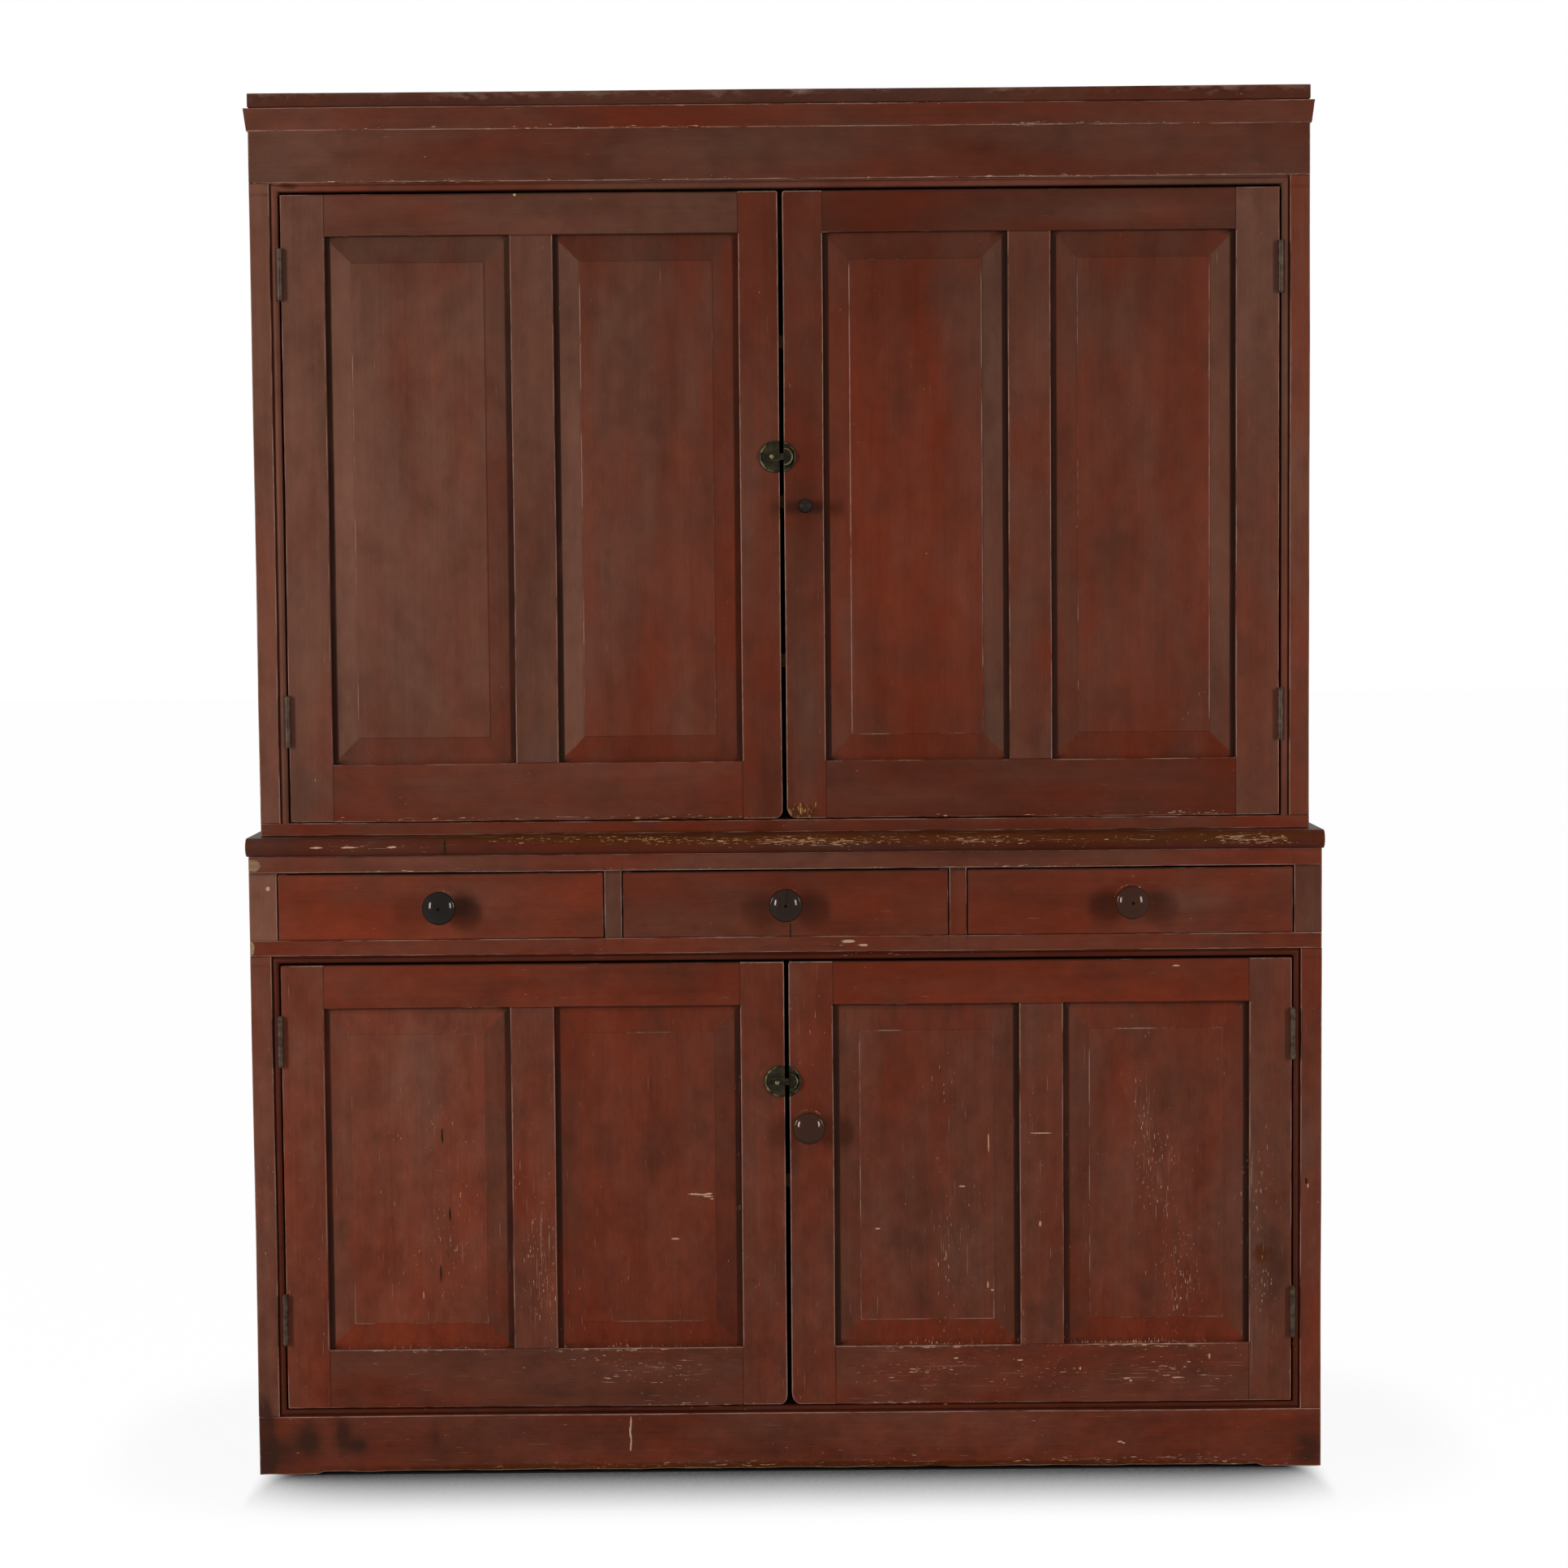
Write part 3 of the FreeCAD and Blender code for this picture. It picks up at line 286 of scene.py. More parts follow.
def rounded_lines(half, radius, step, finer):
    """Lines along one axis of a rounded box: the tangents of 0 to 45 degrees across each edge, and
    even ones between."""
    edge = half - radius + radius * np.tan(np.radians((0, 15, 30, 45)))
    count = max(1, round(2 * (half - radius) / step))
    flat = np.linspace(radius - half, half - radius, count + 1)
    worn = [half - radius - reach for reach in (2, 6) if half - radius > reach]
    extra = [line for line in (*finer, *worn, *[-line for line in worn]) if abs(line) < half - radius - 0.5]
    return np.unique(np.round(np.concatenate([-edge, flat, edge, extra]), 3))


def rounded_box(half, radius, step, finer=((), (), ())):
    """A box about its centre with rounded edges: each point of the box is pulled in to the core, the
    box less its radii, and pushed out again by an ellipsoid of those radii."""
    lines = [rounded_lines(half[axis], radius[axis], step, finer[axis]) for axis in (X, Y, Z)]
    points = []
    quads = []
    start = 0
    for axis in (X, Y, Z):
        u, v = (axis + 1) % 3, (axis + 2) % 3
        across, along = np.meshgrid(lines[u], lines[v], indexing="ij")
        for sign in (-1, 1):
            side = np.empty((across.size, 3))
            side[:, u] = across.ravel()
            side[:, v] = along.ravel()
            side[:, axis] = sign * half[axis]
            faces = grid_faces(*across.shape, start)
            points.append(side)
            quads.append(faces if sign > 0 else faces[:, ::-1])
            start += len(side)
    points = np.concatenate(points)
    core = np.clip(points, radius - half, half - radius)
    push = (points - core) / radius
    points = core + radius * push / np.linalg.norm(push, axis=1)[:, None]
    kept, faces = closed(points, np.concatenate(quads))
    return points[kept], faces


def shares(span, step, finer):
    """Shares of the way along a span: even steps, and places that have to be met."""
    even = np.linspace(0, 1, max(1, round((span[1] - span[0]) / step)) + 1)
    extra = (np.array(finer, float) - span[0]) / (span[1] - span[0])
    return np.unique(np.round(np.concatenate([even, extra[(extra > 0) & (extra < 1)]]), 6))


def terraced(u_span, v_span, profile, step, finer=((), ())):
    """A profile of (inset, level) pairs carried round a rectangle, so that its corners are true
    mitres, and closed by a grid at each end. Returns points as (u, v, level) and faces."""
    u_lines, v_lines = shares(u_span, step, finer[0]), shares(v_span, step, finer[1])
    run, rise = u_lines[:-1], v_lines[:-1]
    back, fall = u_lines[:0:-1], v_lines[:0:-1]
    columns, rows = len(run), len(rise)
    u_share = np.concatenate([run, np.ones(rows), back, np.zeros(rows)])
    v_share = np.concatenate([np.zeros(columns), rise, np.ones(columns), fall])
    insets, levels = np.array(profile, float).T
    low = np.array([u_span[0], v_span[0]]) + insets[:, None]
    high = np.array([u_span[1], v_span[1]]) - insets[:, None]
    rings = np.stack([
        low[:, :1] + u_share * (high - low)[:, :1],
        low[:, 1:] + v_share * (high - low)[:, 1:],
        np.repeat(levels[:, None], len(u_share), axis=1),
    ], axis=-1)
    rings = np.concatenate([rings, rings[:, :1]], axis=1)
    points = [rings.reshape(-1, 3)]
    quads = [grid_faces(*rings.shape[:2])[:, ::-1]]
    for end, turned in ((0, True), (-1, False)):
        u, v = np.meshgrid(low[end, 0] + u_lines * (high - low)[end, 0],
                           low[end, 1] + v_lines * (high - low)[end, 1], indexing="ij")
        faces = grid_faces(columns + 1, rows + 1, sum(len(part) for part in points))
        points.append(np.stack([u.ravel(), v.ravel(), np.full(u.size, levels[end])], axis=-1))
        quads.append(faces[:, ::-1] if turned else faces)
    points = np.concatenate(points)
    kept, faces = closed(points, np.concatenate(quads))
    return points[kept], faces


def swept(sections, counts, ring=False):
    """A closed section carried from corner to corner of a path, evenly between them. A ring joins its
    ends, and an open path has a flat face at each end. Returns points and faces."""
    sections = np.asarray(sections, float)
    following = np.roll(sections, -1, axis=0) if ring else sections[1:]
    runs = zip(sections, following, counts)
    rows = [a + (b - a) * (np.arange(count) / count)[:, None, None] for a, b, count in runs]
    if not ring:
        rows.append(sections[-1:])
    stations = np.concatenate(rows)
    if ring:
        stations = np.concatenate([stations, stations[:1]])
    stations = np.concatenate([stations, stations[:, :1]], axis=1)
    points = stations.reshape(-1, 3)
    quads = grid_faces(*stations.shape[:2])
    width = stations.shape[1]
    ends = [] if ring else [range(width - 1), range(len(points) - 2, len(points) - width - 1, -1)]
    kept, faces = closed(points, quads, ends)
    return points[kept], faces


def arc(start, finish, radius, left, count):
    """Points along the arc under half a circle from start to finish, centre to the left or right,
    without the start."""
    start, finish = np.array(start, float), np.array(finish, float)
    way = finish - start
    span = np.hypot(*way)
    reach = math.sqrt(max(radius * radius - span * span / 4, 0))
    aside = np.array([-way[1], way[0]]) / span * (reach if left else -reach)
    centre = (start + finish) / 2 + aside
    first, last = (math.atan2(*(point - centre)[::-1]) for point in (start, finish))
    turn = (last - first) % (2 * math.pi) if left else -((first - last) % (2 * math.pi))
    angles = first + turn * np.arange(1, count + 1) / count
    return (centre + radius * np.stack([np.cos(angles), np.sin(angles)], axis=1)).tolist()


def lathe(profile, angles, centre):
    """A profile of (radius, depth) pairs turned about an axis along Y through a centre."""
    radius, depth = np.array(profile, float).T
    turn = np.append(angles, angles[0] + 2 * math.pi)
    stations = np.stack([
        radius[:, None] * np.sin(turn),
        np.repeat(depth[:, None], len(turn), axis=1),
        radius[:, None] * np.cos(turn),
    ], axis=-1)
    points = stations.reshape(-1, 3)
    kept, faces = closed(points, grid_faces(*stations.shape[:2]))
    return points[kept] + centre, faces


def seeded(name):
    """Random numbers that are the same on each run for a name."""
    return np.random.default_rng(zlib.crc32(name.encode()))


def waves(places, wavelength, seed):
    """A soft wander between about -1 and 1 along one coordinate: three sines of lengthening wave."""
    phases = seeded(seed).uniform(0, 2 * math.pi, 3)
    stretches = np.array((1.0, 1.7, 3.1))
    return np.sin(places[:, None] / (wavelength * stretches) * 2 * math.pi + phases).mean(axis=1) * 1.4


# Where the paint has aged, as rows of x, z, reach along x, reach along z and amount

# Browner and redder paint
BROWNED = (
    (-500, 1780, 160, 120, 0.06), (-210, 1780, 110, 100, 0.12), (500, 1760, 110, 90, 0.1),
    (-560, 1300, 70, 160, 0.06), (-140, 1500, 60, 300, 0.04), (-560, 560, 130, 110, 0.08),
    (-180, 480, 120, 120, 0.05), (170, 430, 60, 130, 0.1), (560, 480, 110, 120, 0.06),
    (-400, 940, 300, 12, 0.08), (-800, 500, 12, 300, 0.06), (716, 1850, 50, 150, 0.12),
    (540, 1908, 170, 26, 0.22), (-716, 1750, 50, 200, 0.06), (-70, 1600, 50, 230, 0.1),
    (285, 1760, 60, 140, 0.3), (280, 1905, 120, 30, 0.15), (500, 1500, 60, 120, 0.08),
    (30, 1150, 28, 140, 0.3), (-720, 1050, 50, 30, 0.2), (610, 870, 80, 28, 0.3),
    (-490, 870, 50, 30, 0.15), (-650, 760, 110, 40, 0.12), (690, 420, 30, 180, 0.2),
    (640, 330, 60, 90, 0.1), (-60, 70, 70, 30, 0.1), (-740, 660, 40, 60, 0.15), (-260, 320, 70, 70, 0.1),
    (270, 330, 50, 80, 0.1),
)
REDDENED = (
    (-560, 1690, 70, 70, 0.12), (-330, 1160, 70, 60, 0.1), (-180, 1280, 90, 150, 0.08),
    (220, 1560, 60, 240, 0.06), (600, 1620, 60, 120, 0.06), (-640, 840, 90, 30, 0.08),
    (-640, 140, 110, 40, 0.1), (640, 690, 110, 50, 0.08), (290, 300, 40, 160, 0.06),
    (-740, 200, 30, 140, 0.08), (560, 880, 140, 30, 0.05), (60, 700, 60, 60, 0.08),
    (-690, 962, 160, 14, 0.15), (230, 1915, 110, 26, 0.1), (-716, 1070, 50, 130, 0.2),
    (716, 1080, 50, 150, 0.22), (716, 1350, 50, 200, 0.08), (-560, 1830, 110, 50, 0.25),
    (-500, 1975, 200, 40, 0.16), (-150, 2010, 120, 40, 0.12), (300, 1975, 200, 24, 0.1),
    (520, 1180, 100, 70, 0.1), (400, 1250, 36, 90, 0.15), (20, 1500, 40, 90, 0.12),
    (78, 1200, 22, 100, 0.12), (250, 985, 260, 20, 0.15), (130, 850, 80, 40, 0.15),
    (-600, 1150, 50, 70, 0.1), (-370, 1300, 30, 200, 0.06), (415, 828, 60, 36, 0.2),
    (-220, 735, 110, 24, 0.1), (-30, 660, 30, 80, 0.1), (150, 550, 50, 150, 0.2),
    (490, 600, 26, 60, 0.16),
)
# Paint that is lighter than the rest of its board, or darker under nought
BRIGHTNESS_SHIFTS = (
    (-740, 2000, 110, 70, 0.32), (-560, 1990, 100, 50, 0.12), (250, 2045, 380, 16, -0.18),
    (560, 1905, 120, 24, 0.5), (-130, 1905, 70, 20, 0.1), (-330, 1905, 60, 20, 0.1),
    (-530, 1830, 120, 50, -0.14), (-200, 1830, 100, 50, -0.14), (200, 1800, 150, 80, -0.26),
    (520, 1800, 150, 80, -0.26), (-295, 1400, 40, 220, 0.24), (-560, 1500, 120, 200, 0.14),
    (-740, 1400, 30, 110, 0.15), (640, 1350, 24, 200, 0.2), (100, 1400, 40, 120, 0.14),
    (220, 1450, 120, 140, 0.06), (-450, 1130, 80, 40, -0.1), (-730, 1040, 40, 40, -0.35),
    (-20, 1030, 20, 80, -0.35), (300, 1130, 260, 60, -0.1), (520, 1060, 180, 60, -0.1),
    (210, 1050, 110, 20, 0.15), (230, 955, 240, 36, -0.3), (400, 960, 60, 30, -0.2),
    (-420, 908, 150, 16, -0.28), (-260, 80, 200, 32, -0.25), (240, 60, 180, 38, 0.32),
    (-450, 330, 50, 160, -0.12), (-430, 230, 70, 40, -0.15), (190, 420, 40, 120, -0.16),
    (-15, 660, 20, 80, -0.2), (470, 480, 30, 150, -0.08), (600, 150, 60, 30, -0.15),
    (0, 1070, 110, 30, -0.12),
)
# Dirt, and painted shade: the shadows cast beside the knobs, the peg and the catches, and dark bands in the
# gaps round the doors and drawers
DIRT_AND_SHADE = (
    (-803, 45, 16, 70, 2.0), (-770, 30, 20, 20, 0.7), (-735, 55, 16, 24, 0.9), (-682, 62, 12, 22, 0.9),
    (-658, 45, 14, 12, 0.8), (-541, 55, 8, 24, 0.5), (-560, 50, 260, 70, 0.28), (790, 25, 26, 30, 0.9),
    # Painted shade: the rows at heights 1940, 782, 920 and 870 darken the gaps over the doors and round the
    # drawers
    (-376, 1940, 420, 3.2, 1.0), (376, 1940, 420, 3.2, 1.0), (-385, 782, 420, 2.6, 0.9),
    (385, 782, 420, 2.6, 0.9), (-520, 920, 270, 3, 1.0), (0, 920, 270, 3, 1.0), (520, 920, 270, 3, 1.0),
    (-767, 870, 2.4, 60, 0.8), (-274, 870, 2.4, 60, 0.9), (-246, 870, 2.4, 60, 0.8),
    (246, 870, 2.4, 60, 0.8), (274, 870, 2.4, 60, 0.9), (767, 870, 2.4, 60, 0.9), (740, 300, 26, 80, 0.5),
    # Painted shadows cast by the peg at 1466 and by the drawer knobs at 864; round the catches at 1543 and
    # 600, dirt and painted shade together
    (35, 1466, 42, 11, 0.8), (-226, 124, 150, 12, 0.5), (196, 427, 40, 60, 0.25),
    (-484, 864, 22, 26, 0.8), (38, 864, 22, 26, 0.5), (-36, 864, 20, 26, 0.4), (480, 864, 22, 26, 0.5),
    (560, 864, 24, 26, 0.7), (0, 1543, 46, 60, 0.3), (0, 600, 46, 50, 0.3), (40, 1469, 30, 40, 0.25),
    (34, 532, 40, 46, 0.25),
)
# Crowds of flakes
FLAKED = (
    (-378, 332, 26, 130, 0.9), (529, 540, 26, 70, 0.6), (560, 470, 34, 90, 0.7), (590, 300, 40, 90, 0.9),
    (717, 440, 22, 110, 0.9), (720, 280, 22, 60, 0.8), (233, 582, 26, 90, 0.45),
    (241, 343, 40, 110, 0.55), (384, 400, 30, 160, 0.35), (-520, 430, 70, 150, 0.4),
    (40, 700, 30, 60, 0.4), (90, 845, 60, 30, 0.4), (520, 900, 60, 22, 0.6), (-620, 961, 120, 8, 1.0),
    (60, 965, 110, 10, 1.5), (284, 965, 120, 10, 1.4), (540, 965, 130, 9, 1.1), (720, 963, 90, 11, 1.5),
    (-120, 968, 160, 8, 1.4), (-360, 971, 130, 6, 1.2), (-560, 924, 180, 4, 0.9),
    (-200, 924, 160, 4, 0.8), (300, 924, 140, 4, 0.9), (80, 808, 40, 10, 0.8), (110, 792, 140, 4, 0.6),
    (560, 150, 150, 34, 0.85), (240, 150, 150, 34, 0.6), (-220, 160, 120, 30, 0.75),
    (500, 10, 330, 10, 0.9), (-160, 8, 300, 9, 0.9), (-560, 191, 150, 4, 1.0), (-210, 191, 120, 4, 0.9),
    (210, 191, 130, 4, 1.0), (520, 191, 150, 4, 1.3), (-150, 104, 110, 4, 0.8), (-480, 1000, 240, 5, 1.1),
    (-150, 1000, 140, 5, 1.3), (28, 1010, 26, 14, 1.6), (600, 1001, 90, 5, 1.3), (300, 999, 200, 4, 0.9),
    (200, 104, 160, 4, 0.7), (-480, 1958, 320, 3, 1.2), (300, 1958, 420, 3, 1.1),
    (420, 2036, 200, 4, 1.2), (-560, 2036, 180, 4, 1.0), (-200, 2036, 240, 4, 0.9),
    (100, 2067, 380, 3, 1.1),
)
# Brown varnish and handled wood
STAINED = (
    (180, 970, 560, 8, 1.1), (600, 966, 200, 9, 0.9), (-360, 975, 260, 4, 0.7), (-180, 970, 180, 8, 0.9),
    (-300, 3, 440, 9, 0.9), (300, 3, 440, 8, 0.9), (-150, 998, 130, 5, 0.8), (160, 998, 120, 4, 0.5),
    (27, 1008, 22, 12, 1.1), (-738, 1953, 14, 6, 1.1), (720, 330, 20, 16, 0.8),
)
# Breaks down to the wood
BROKEN = (
    (-806, 934, 16, 10, 1.0), (-811, 808, 9, 14, 1.0), (5, 1003, 6, 9, 1.0), (810.5, 330, 2.4, 280, 0.48),
    (810.5, 870, 2.4, 60, 0.7),
)
# Single cracks and scratches, as such rows without an amount
CRACKS = (
    (-524, 520, 1.8, 15), (-514, 399, 1.8, 12), (-529, 311, 1.9, 16), (-512, 962, 2.2, 13),
    (787, 440, 2.0, 6), (7, 829, 1.5, 15),
)
SCRATCHES = (
    (-144, 427.5, 8, 1.3), (-130, 426.5, 9, 1.2), (-120, 428, 5, 1.4), (-122, 423.5, 8, 1.3),
    (-116, 420, 3, 1.0), (-172, 359, 7, 1.6), (503, 40, 4, 1.6), (509, 37.5, 3, 1.4),
    (-242.5, 78, 1.3, 9), (-244, 63, 1.5, 9), (-242.5, 49, 1.2, 8), (-243.5, 36, 1.4, 6),
    (789.5, 433, 1.2, 4), (94, 812, 12, 2.6), (118, 806, 7, 2), (-397, 1937, 2.4, 2),
    (-781, 899, 3.6, 3.4), (305, 503, 1.2, 15), (384, 517, 20, 1.0), (383, 378, 1.8, 5),
    (265, 436, 6, 1.2), (303, 284, 1.6, 6), (310, 276, 3, 1.5), (282, 687, 1.2, 2.4), (136, 372, 4, 1.6),
    (443, 155, 1.6, 3), (514, 139, 6, 1.3), (520, 135, 2.4, 1.8), (640, 172, 1.4, 5), (352, 168, 5, 1.2),
    (254, 172, 5, 1.3), (-705, 961, 15, 1.4), (-656, 961, 17, 1.5), (-592, 961, 9, 1.5),
    (-570, 960, 11, 1.3), (-556, 275, 0.8, 7), (590, 771, 6, 1.6),
)
# Rings that hands on the knobs have rubbed, as rows of x, z, radius and amount
RINGS = (
    (-520.7, 870, 24, 0.42), (0, 870, 24, 0.4), (520.7, 870, 24.5, 0.52), (32.5, 531.8, 24, 0.52),
)
# How far marks go round the corners of the cases, how near to a corner that starts, and the height at which
# the upper case starts
MARK_TURN = 12
MARK_CORNER = 5
CASE_JOINT = 985
LOWER_STILES, UPPER_STILES = box("lower_stiles"), box("upper_stiles")
# Depths that the marks and the rubbed rings lie in front of
MARK_DEPTH = -150
RING_DEPTH = -180
# Browning and brightness of a board that the table of boards below doesn't list
PLAIN_AGE = (0.0, 0.9)
# How far the grain of a board may be shifted from the next one's
GRAIN_SHIFT = 4000
# Heights between which feet, brooms and damp have weathered the paint more and more
WEATHERED = (1000, 400)
# Browning and brightness of each board, about those of the whole; the lower opening beads are darkened as
# painted shade in their quirks
AGE_AND_SHADE = {
    "cap": (0.05, 0.6), "cornice": (0.0, 0.85), "frieze": (0.1, 0.75), "upper_stiles 0": (0.25, 1.3),
    "upper_stiles 1": (0.0, 1.2), "upper_opening_beads": (0.15, 1.05),
    "upper_left_door stile 0": (0.3, 1.15), "upper_left_door stile 1": (-0.05, 0.9),
    "upper_left_door head": (0.2, 0.9), "upper_left_door foot": (-0.05, 0.95),
    "upper_left_door muntin": (0.2, 1.0), "upper_left_door panel 0": (0.2, 1.1),
    "upper_left_door panel 1": (-0.05, 1.0), "upper_right_door stile 0": (-0.05, 0.85),
    "upper_right_door stile 1": (0.15, 1.05), "upper_right_door head": (-0.1, 0.6),
    "upper_right_door foot": (-0.1, 0.75), "upper_right_door muntin": (0.05, 1.0),
    "upper_right_door panel 0": (-0.1, 1.0), "upper_right_door panel 1": (-0.05, 1.0),
    "sill_rail": (-0.05, 1.0), "waist": (-0.05, 0.6), "drawer_top_rail": (0.0, 1.05),
    "drawer_uprights 0": (0.4, 1.7), "drawer_uprights 1": (0.25, 0.9), "drawer_uprights 2": (-0.2, 0.95),
    "drawer_uprights 3": (0.15, 0.95), "left_drawer face": (-0.2, 1.2),
    "middle_drawer face": (-0.05, 0.9), "right_drawer face": (-0.1, 0.95), "middle_rail": (-0.05, 1.0),
    "lower_stiles 0": (0.15, 1.2), "lower_stiles 1": (-0.05, 1.0), "lower_opening_beads": (-0.25, 0.45),
    "lower_left_door stile 0": (-0.05, 1.2), "lower_left_door stile 1": (0.0, 1.0),
    "lower_left_door head": (-0.25, 1.05), "lower_left_door foot": (0.0, 0.85),
    "lower_left_door muntin": (0.0, 1.15), "lower_left_door panel 0": (-0.05, 1.3),
    "lower_left_door panel 1": (-0.15, 1.0), "lower_right_door stile 0": (-0.05, 1.0),
    "lower_right_door stile 1": (0.05, 1.0), "lower_right_door head": (-0.25, 1.0),
    "lower_right_door foot": (-0.05, 0.95), "lower_right_door muntin": (0.0, 1.0),
    "lower_right_door panel 0": (0.0, 1.0), "lower_right_door panel 1": (-0.05, 1.0),
    "base_board": (-0.1, 0.95),
}
# Wear along the left, right, foot and head edges of the field of each panel, whose pale lines also paint
# glints of the lamps
FIELD_WEAR_AND_GLINT = {
    "upper_left_door panel 0": (0.42, 0.1, 0.05, 0.0),
    "upper_left_door panel 1": (0.5, 0.2, 0.15, 0.0),
    "upper_right_door panel 0": (0.85, 0.5, 0.4, 0.1),
    "upper_right_door panel 1": (0.3, 0.6, 0.2, 0.1),
    "lower_left_door panel 0": (0.2, 0.1, 0.35, 0.15),
    "lower_left_door panel 1": (0.2, 0.1, 0.3, 0.2),
    "lower_right_door panel 0": (0.45, 0.3, 0.5, 0.3),
    "lower_right_door panel 1": (0.5, 0.15, 0.35, 0.35),
}
# Browning and brightness of the left, right, foot and head bevels, about those of their panel, partly painted
# light and shade of each slope towards the lamps, and the dirt and painted shadow beside them in the groove
BEVEL_LIGHT_AND_AGE = {
    "upper_left_door": ((0.35, 1.1, 1.0), (-0.1, 0.9, 0.6), (-0.1, 0.85, 0.1), (0.05, 0.75, 0.1)),
    "upper_right_door": ((0.05, 0.9, 0.95), (0.3, 0.9, 1.0), (-0.1, 0.95, 0.1), (0.05, 0.8, 0.15)),
    "lower_left_door": ((0.05, 0.85, 0.75), (0.05, 0.8, 0.7), (-0.2, 1.0, 0.2), (-0.05, 1.0, 0.3)),
    "lower_right_door": ((0.0, 0.85, 0.8), (0.0, 0.85, 1.0), (-0.2, 1.1, 0.2), (-0.05, 0.95, 0.3)),
}


def mark_lines(low, high, axis):
    """Extra grid lines along x or z through the small marks on a piece."""
    lines = []
    fine = (-2.4, -1.5, -0.9, -0.4, 0, 0.4, 0.9, 1.5, 2.4)
    coarse = (-2, -1, -0.5, 0, 0.5, 1, 2)
    for rows, spread in ((CRACKS + SCRATCHES, fine), (DIRT_AND_SHADE + FLAKED + STAINED + BROKEN, coarse)):
        for x, z, reach_x, reach_z, *_ in rows:
            middle, reach = (x, reach_x) if axis == X else (z, reach_z)
            beside = low[X] - reach_x < x < high[X] + reach_x
            level = low[Z] - reach_z < z < high[Z] + reach_z
            if beside and level and reach < 1.5 * size("grid"):
                lines += [middle + reach * share for share in spread]
    for x, z, radius, _ in RINGS:
        if low[X] < x < high[X] and low[Z] < z < high[Z]:
            reach = radius + 3
            lines += [(x if axis == X else z) + shift for shift in np.linspace(-reach, reach, 43)]
    return lines


def ringed(points):
    """The rubbed rings: a ridge at the radius of each, stronger above the knob than below it."""
    total = np.zeros(len(points))
    for x, z, radius, amount in RINGS:
        aside, above = points[:, X] - x, points[:, Z] - z
        away = np.hypot(aside, above)
        total += amount * np.exp(-(away - radius) ** 2) * np.clip(0.55 + 0.6 * above / radius, 0, 1)
    return np.where(points[:, Y] < RING_DEPTH, total, 0)


def patches(points, rows):
    """The sum of soft round patches on the front of the piece, which fade out round the corners of the
    cases."""
    x, z, reach_x, reach_z, *amount = np.array(rows).T
    away = ((points[:, X, None] - x) / reach_x) ** 2 + ((points[:, Z, None] - z) / reach_z) ** 2
    total = (np.exp(-away) * (amount[0] if amount else 1)).sum(axis=1)
    lower = points[:, Z] < CASE_JOINT
    behind = points[:, Y] - np.where(lower, LOWER_STILES[0][Y], UPPER_STILES[0][Y])
    aside = np.abs(points[:, X]) > np.where(lower, LOWER_STILES[1][X], UPPER_STILES[1][X]) - MARK_CORNER
    total = total * np.where(aside, np.clip((MARK_TURN - behind) / MARK_TURN, 0, 1), 1)
    return np.where(points[:, Y] < MARK_DEPTH, total, 0)


def painted(points, faces, grain, arris, bare, wear, name):
    """A surface with the values that its paint reads: grain runs along, across and through the board,
    arris is the distance to a worn edge, and bare is one where there is no paint."""
    chance = seeded(name)
    tone, depth = AGE_AND_SHADE.get(name, PLAIN_AGE)
    broken = np.clip(patches(points, BROKEN), 0, 1)
    return Surface(
        points, faces,
        grain=grain + chance.uniform(-GRAIN_SHIFT, GRAIN_SHIFT, 3),
        arris=arris,
        tone=tone + patches(points, BROWNED) - patches(points, REDDENED),
        chips=patches(points, FLAKED),
        # Dirt, and painted shade in the gaps and beside the hardware
        grime_and_shade=np.clip(patches(points, DIRT_AND_SHADE), 0, 1),
        bare=np.clip(np.where(bare, 1.0, broken), 0, 1),
        wear=np.full(len(points), float(wear)),
        depth=depth * (1 + patches(points, BRIGHTNESS_SHIFTS)),
        crack=patches(points, CRACKS),
        scratch=patches(points, SCRATCHES) + ringed(points),
        stain=np.clip(patches(points, STAINED), 0, 1),
        weather=np.clip((WEATHERED[0] - points[:, Z]) / (WEATHERED[0] - WEATHERED[1]), 0, 1),
    )


